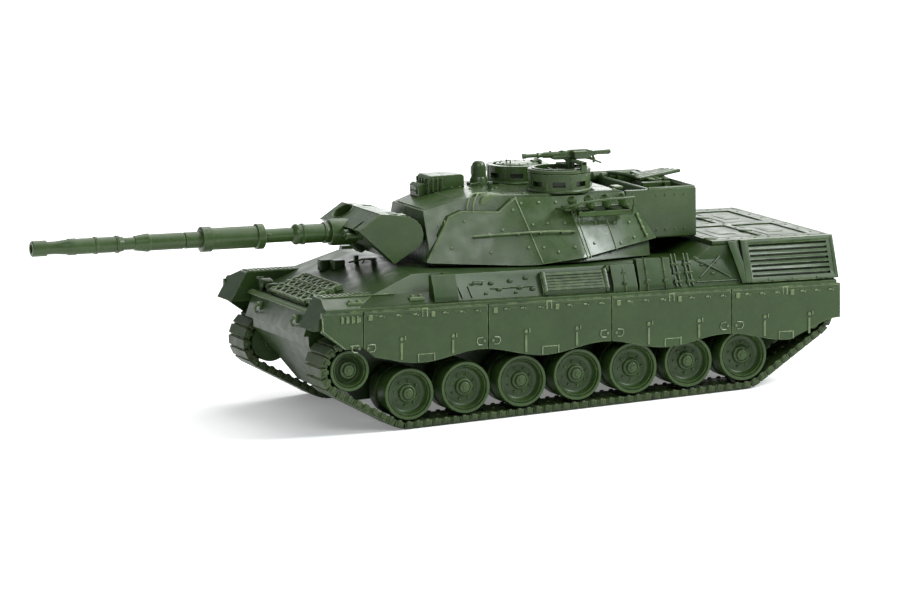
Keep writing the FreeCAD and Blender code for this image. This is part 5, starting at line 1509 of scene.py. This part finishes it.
# %% Barrel with sleeves and clamps
outline = [
    (16.0, 0.0), (16.0, 1.6), (16.5, 1.65), (16.55, 1.75), (16.9, 1.75), (16.95, 1.55), (20.3, 1.55),
    (20.35, 1.74), (20.75, 1.74), (20.8, 1.6), (21.5, 1.6), (21.55, 1.72), (21.95, 1.66), (22.4, 1.15),
    (27.35, 1.15), (27.4, 1.95), (27.5, 2.08), (28.6, 2.08), (28.7, 1.95), (28.75, 1.8), (36.35, 1.8),
    (36.4, 1.95), (36.5, 2.08), (38.1, 2.08), (38.2, 1.95), (38.25, 1.35), (40.9, 1.35), (41.0, 1.15),
    (41.2, 1.15), (41.3, 1.35), (47.0, 1.35), (47.1, 1.5), (47.5, 1.5), (49.5, 1.2), (49.6, 1.02),
    (51.4, 1.02), (51.5, 1.2), (52.2, 1.3), (52.25, 1.44), (52.7, 1.44), (52.75, 1.3), (55.9, 1.3),
    (55.95, 1.44), (56.35, 1.44), (56.4, 1.3), (59.4, 1.3), (59.6, 1.38), (60.8, 1.38), (61.0, 1.24),
    (63.0, 1.06), (64.5, 1.06), (64.55, 1.3), (66.85, 1.3), (67.0, 1.15), (67.0, 0.72), (61.0, 0.7),
    (61.0, 0.0),
]
tube = lathe(outline, "x", (0, 29.3), 48)
parts = [tube]
for u, r in ((28.1, 2.05), (37.4, 2.05), (47.3, 1.47), (56.1, 1.4), (52.4, 1.4), (20.6, 1.7)):
    for angle in (40, 220):
        a = radians(angle)
        spot = ((u, (r - 0.02) * sin(a), 29.3 + (r - 0.02) * cos(a)), (0, sin(a), cos(a)))
        parts.append(studs([spot], 0.2, 0.2, 6))
parts.append(block((36.6, 38.0), (-0.3, 0.3), (27.24, 27.5), 0.08))
parts.append(block((26.3, 27.3), (0.9, 1.25), (29.5, 29.8), 0.08))
settle(joined(parts), "gun_tube", "gun", olive_turret, stands_for="gun_barrel")
# %% [markdown]
# ## What is hidden inside
#
# Under the shells are the motors, gears, cell and circuit board. Their CAD shapes are right as they
# are, so they only get finishes of their own: milky gear plastic, rolled steel, shrink wrap, green
# board lacquer and black moulding. Each one has its own grain in colour, roughness and bump.

# %% Finishes for the works


def works_finish(name, base, spread, rough, metal=0.0, scale=600, stretch=(1, 1, 1), bump=0.08):
    """A finish with drifting tone, uneven gloss and a fine relief."""
    finish, nodes, links, shader, place = new_finish(name)
    drift = ramp(nodes, links, grain(nodes, links, place, scale, 4, stretch), 0.3, 0.7, 1 - spread,
                 1 + spread)
    tone = mixed(nodes, links, 1.0, base, drift, "MULTIPLY")
    worn = tuple(min(1.0, c * 1.5 + 0.04) for c in base)
    tone = mixed(nodes, links, edge_mask(nodes, links, 0.0002, 0.05, 0.5), tone, worn)
    links.new(tone, shader.inputs["Base Color"])
    gloss = ramp(nodes, links, grain(nodes, links, place, scale * 2, 3, stretch), 0.3, 0.7,
                 rough - 0.07, rough + 0.08)
    links.new(gloss, shader.inputs["Roughness"])
    shader.inputs["Metallic"].default_value = metal
    relief = nodes.new("ShaderNodeBump")
    relief.inputs["Strength"].default_value = bump
    relief.inputs["Distance"].default_value = 0.00004
    links.new(grain(nodes, links, place, scale * 5, 2, stretch), relief.inputs["Height"])
    links.new(relief.outputs["Normal"], shader.inputs["Normal"])
    return finish


milky = works_finish("milky_gear_plastic", (0.62, 0.60, 0.54), 0.06, 0.38)
steel = works_finish("rolled_steel", (0.48, 0.48, 0.47), 0.10, 0.30, 1.0, 900, (1, 8, 1))
can = works_finish("plated_motor_can", (0.56, 0.55, 0.52), 0.08, 0.26, 1.0, 500, (1, 6, 1))
wrap = works_finish("cell_shrink_wrap", (0.05, 0.10, 0.26), 0.12, 0.34, 0.0, 300)
lacquer = works_finish("board_lacquer", (0.02, 0.13, 0.06), 0.15, 0.28, 0.0, 1200)
black = works_finish("black_moulding", (0.022, 0.022, 0.023), 0.18, 0.46, 0.0, 700)
dressed = {
    "battery": wrap, "control_board": lacquer, "drive_motors": can, "turret_motor": can,
    "hull_screws": steel, "wheel_axles": steel, "switch_knob": black, "gearbox_frame": black,
    "turret_pinion": milky, "turret_ring_gear": milky, "turret_base": olive_turret,
}
for side in ("left", "right"):
    for part in ("drive_axle_", "reduction_gear_", "motor_pinion_"):
        dressed[part + side] = milky
for node, finish in dressed.items():
    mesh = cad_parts[node].data
    mesh.materials.clear()
    mesh.materials.append(finish)
shown = [name for name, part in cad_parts.items() if not part.hide_render]
print("CAD nodes still shown:", len(shown), "without a finish here:", sorted(set(shown) - set(dressed)))
# %% [markdown]
# ## The stage
#
# The tank stands on a plain, nearly white floor that glows a little, as a light table does, so its
# shadow stays pale. A wide overhead panel behind it brightens the decks. Two small panels are placed
# where the turret's rear and front armour would mirror them, and a low one on the far side puts a
# sheen on the decks. The camera is a long lens, low above the floor and to the tank's front left.

# %% Floor
clear()
bpy.ops.mesh.primitive_plane_add(size=12, location=(0, 0, 0))
floor = bpy.context.object
floor.name = "studio_floor"
paper, nodes, links, shader, place = new_finish("studio_paper")
shader.inputs["Base Color"].default_value = (0.88, 0.88, 0.88, 1)
shader.inputs["Roughness"].default_value = 0.9
shader.inputs["Emission Color"].default_value = (1.0, 1.0, 1.0, 1)
shader.inputs["Emission Strength"].default_value = 0.20
shader.inputs["Specular IOR Level"].default_value = 0.1
floor.data.materials.append(paper)
floor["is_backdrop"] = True
print("floor ready")

# %% Light
scene = bpy.context.scene
sky = bpy.data.worlds.new("studio_air")
sky.use_nodes = True
sky.node_tree.nodes["Background"].inputs["Color"].default_value = (0.93, 0.96, 1.0, 1)
sky.node_tree.nodes["Background"].inputs["Strength"].default_value = 0.40
scene.world = sky


def panel(name, place, aim, wide, tall, power, colour=(1, 1, 1)):
    """A soft rectangular light at a place, aimed at a point."""
    lamp = bpy.data.lights.new(name, "AREA")
    lamp.shape = "RECTANGLE"
    lamp.size = wide
    lamp.size_y = tall
    lamp.energy = power
    lamp.color = colour
    holder = bpy.data.objects.new(name, lamp)
    scene.collection.objects.link(holder)
    holder.location = place
    holder.rotation_euler = (Vector(aim) - Vector(place)).to_track_quat("-Z", "Y").to_euler()
    return holder


panel("overhead_panel", (-0.42, -0.16, 0.60), (0, 0, 0.01), 1.1, 0.9, 8.6, (1.0, 0.99, 0.97))
panel("stern_panel", (-0.55, 0.36, 0.47), (-0.03, 0, 0.03), 0.24, 0.24, 6.0, (0.93, 0.97, 1.0))
panel("bow_panel", (0.20, 0.62, 0.50), (0.01, 0, 0.03), 0.32, 0.26, 1.9, (0.98, 0.99, 1.0))
panel("far_panel", (-0.32, -0.88, 0.17), (-0.03, 0, 0.03), 0.60, 0.20, 1.1, (1.0, 1.0, 1.0))
scene.view_settings.view_transform = "Standard"

# %% Camera
lens = bpy.data.cameras.new("long_lens")
SENSOR_MM, FOCAL_MM = 36, 281.36
lens.sensor_width = SENSOR_MM
lens.lens = FOCAL_MM
lens.clip_start = 0.05
lens.clip_end = 50
camera = bpy.data.objects.new("camera", lens)
scene.collection.objects.link(camera)
# The view's right and up directions, and the place it is seen from, in the shared frame.
right = Vector((-0.92959243, 0.36477835, -0.05286473))
up = Vector((-0.10451812, -0.12333497, 0.98684571))
back = right.cross(up)
camera.matrix_world = Matrix.Translation((0.40426, 1.0702, 0.19383)) @ Matrix((right, up,
    back)).transposed().to_4x4()
scene.camera = camera
print("camera at", [round(x, 3) for x in camera.location])

# %% [markdown]
# ## The size
#
# The dressed model must stay inside the CAD model's box. The sizes of both boxes are printed one under
# the other.

# %% Print both box sizes
dressed_box = [list(corner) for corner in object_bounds()]
for name, low, high in (("cad", *cad_box), ("visual", *dressed_box)):
    print(name, [round(1000 * (b - a), 2) for a, b in zip(low, high)], "mm")
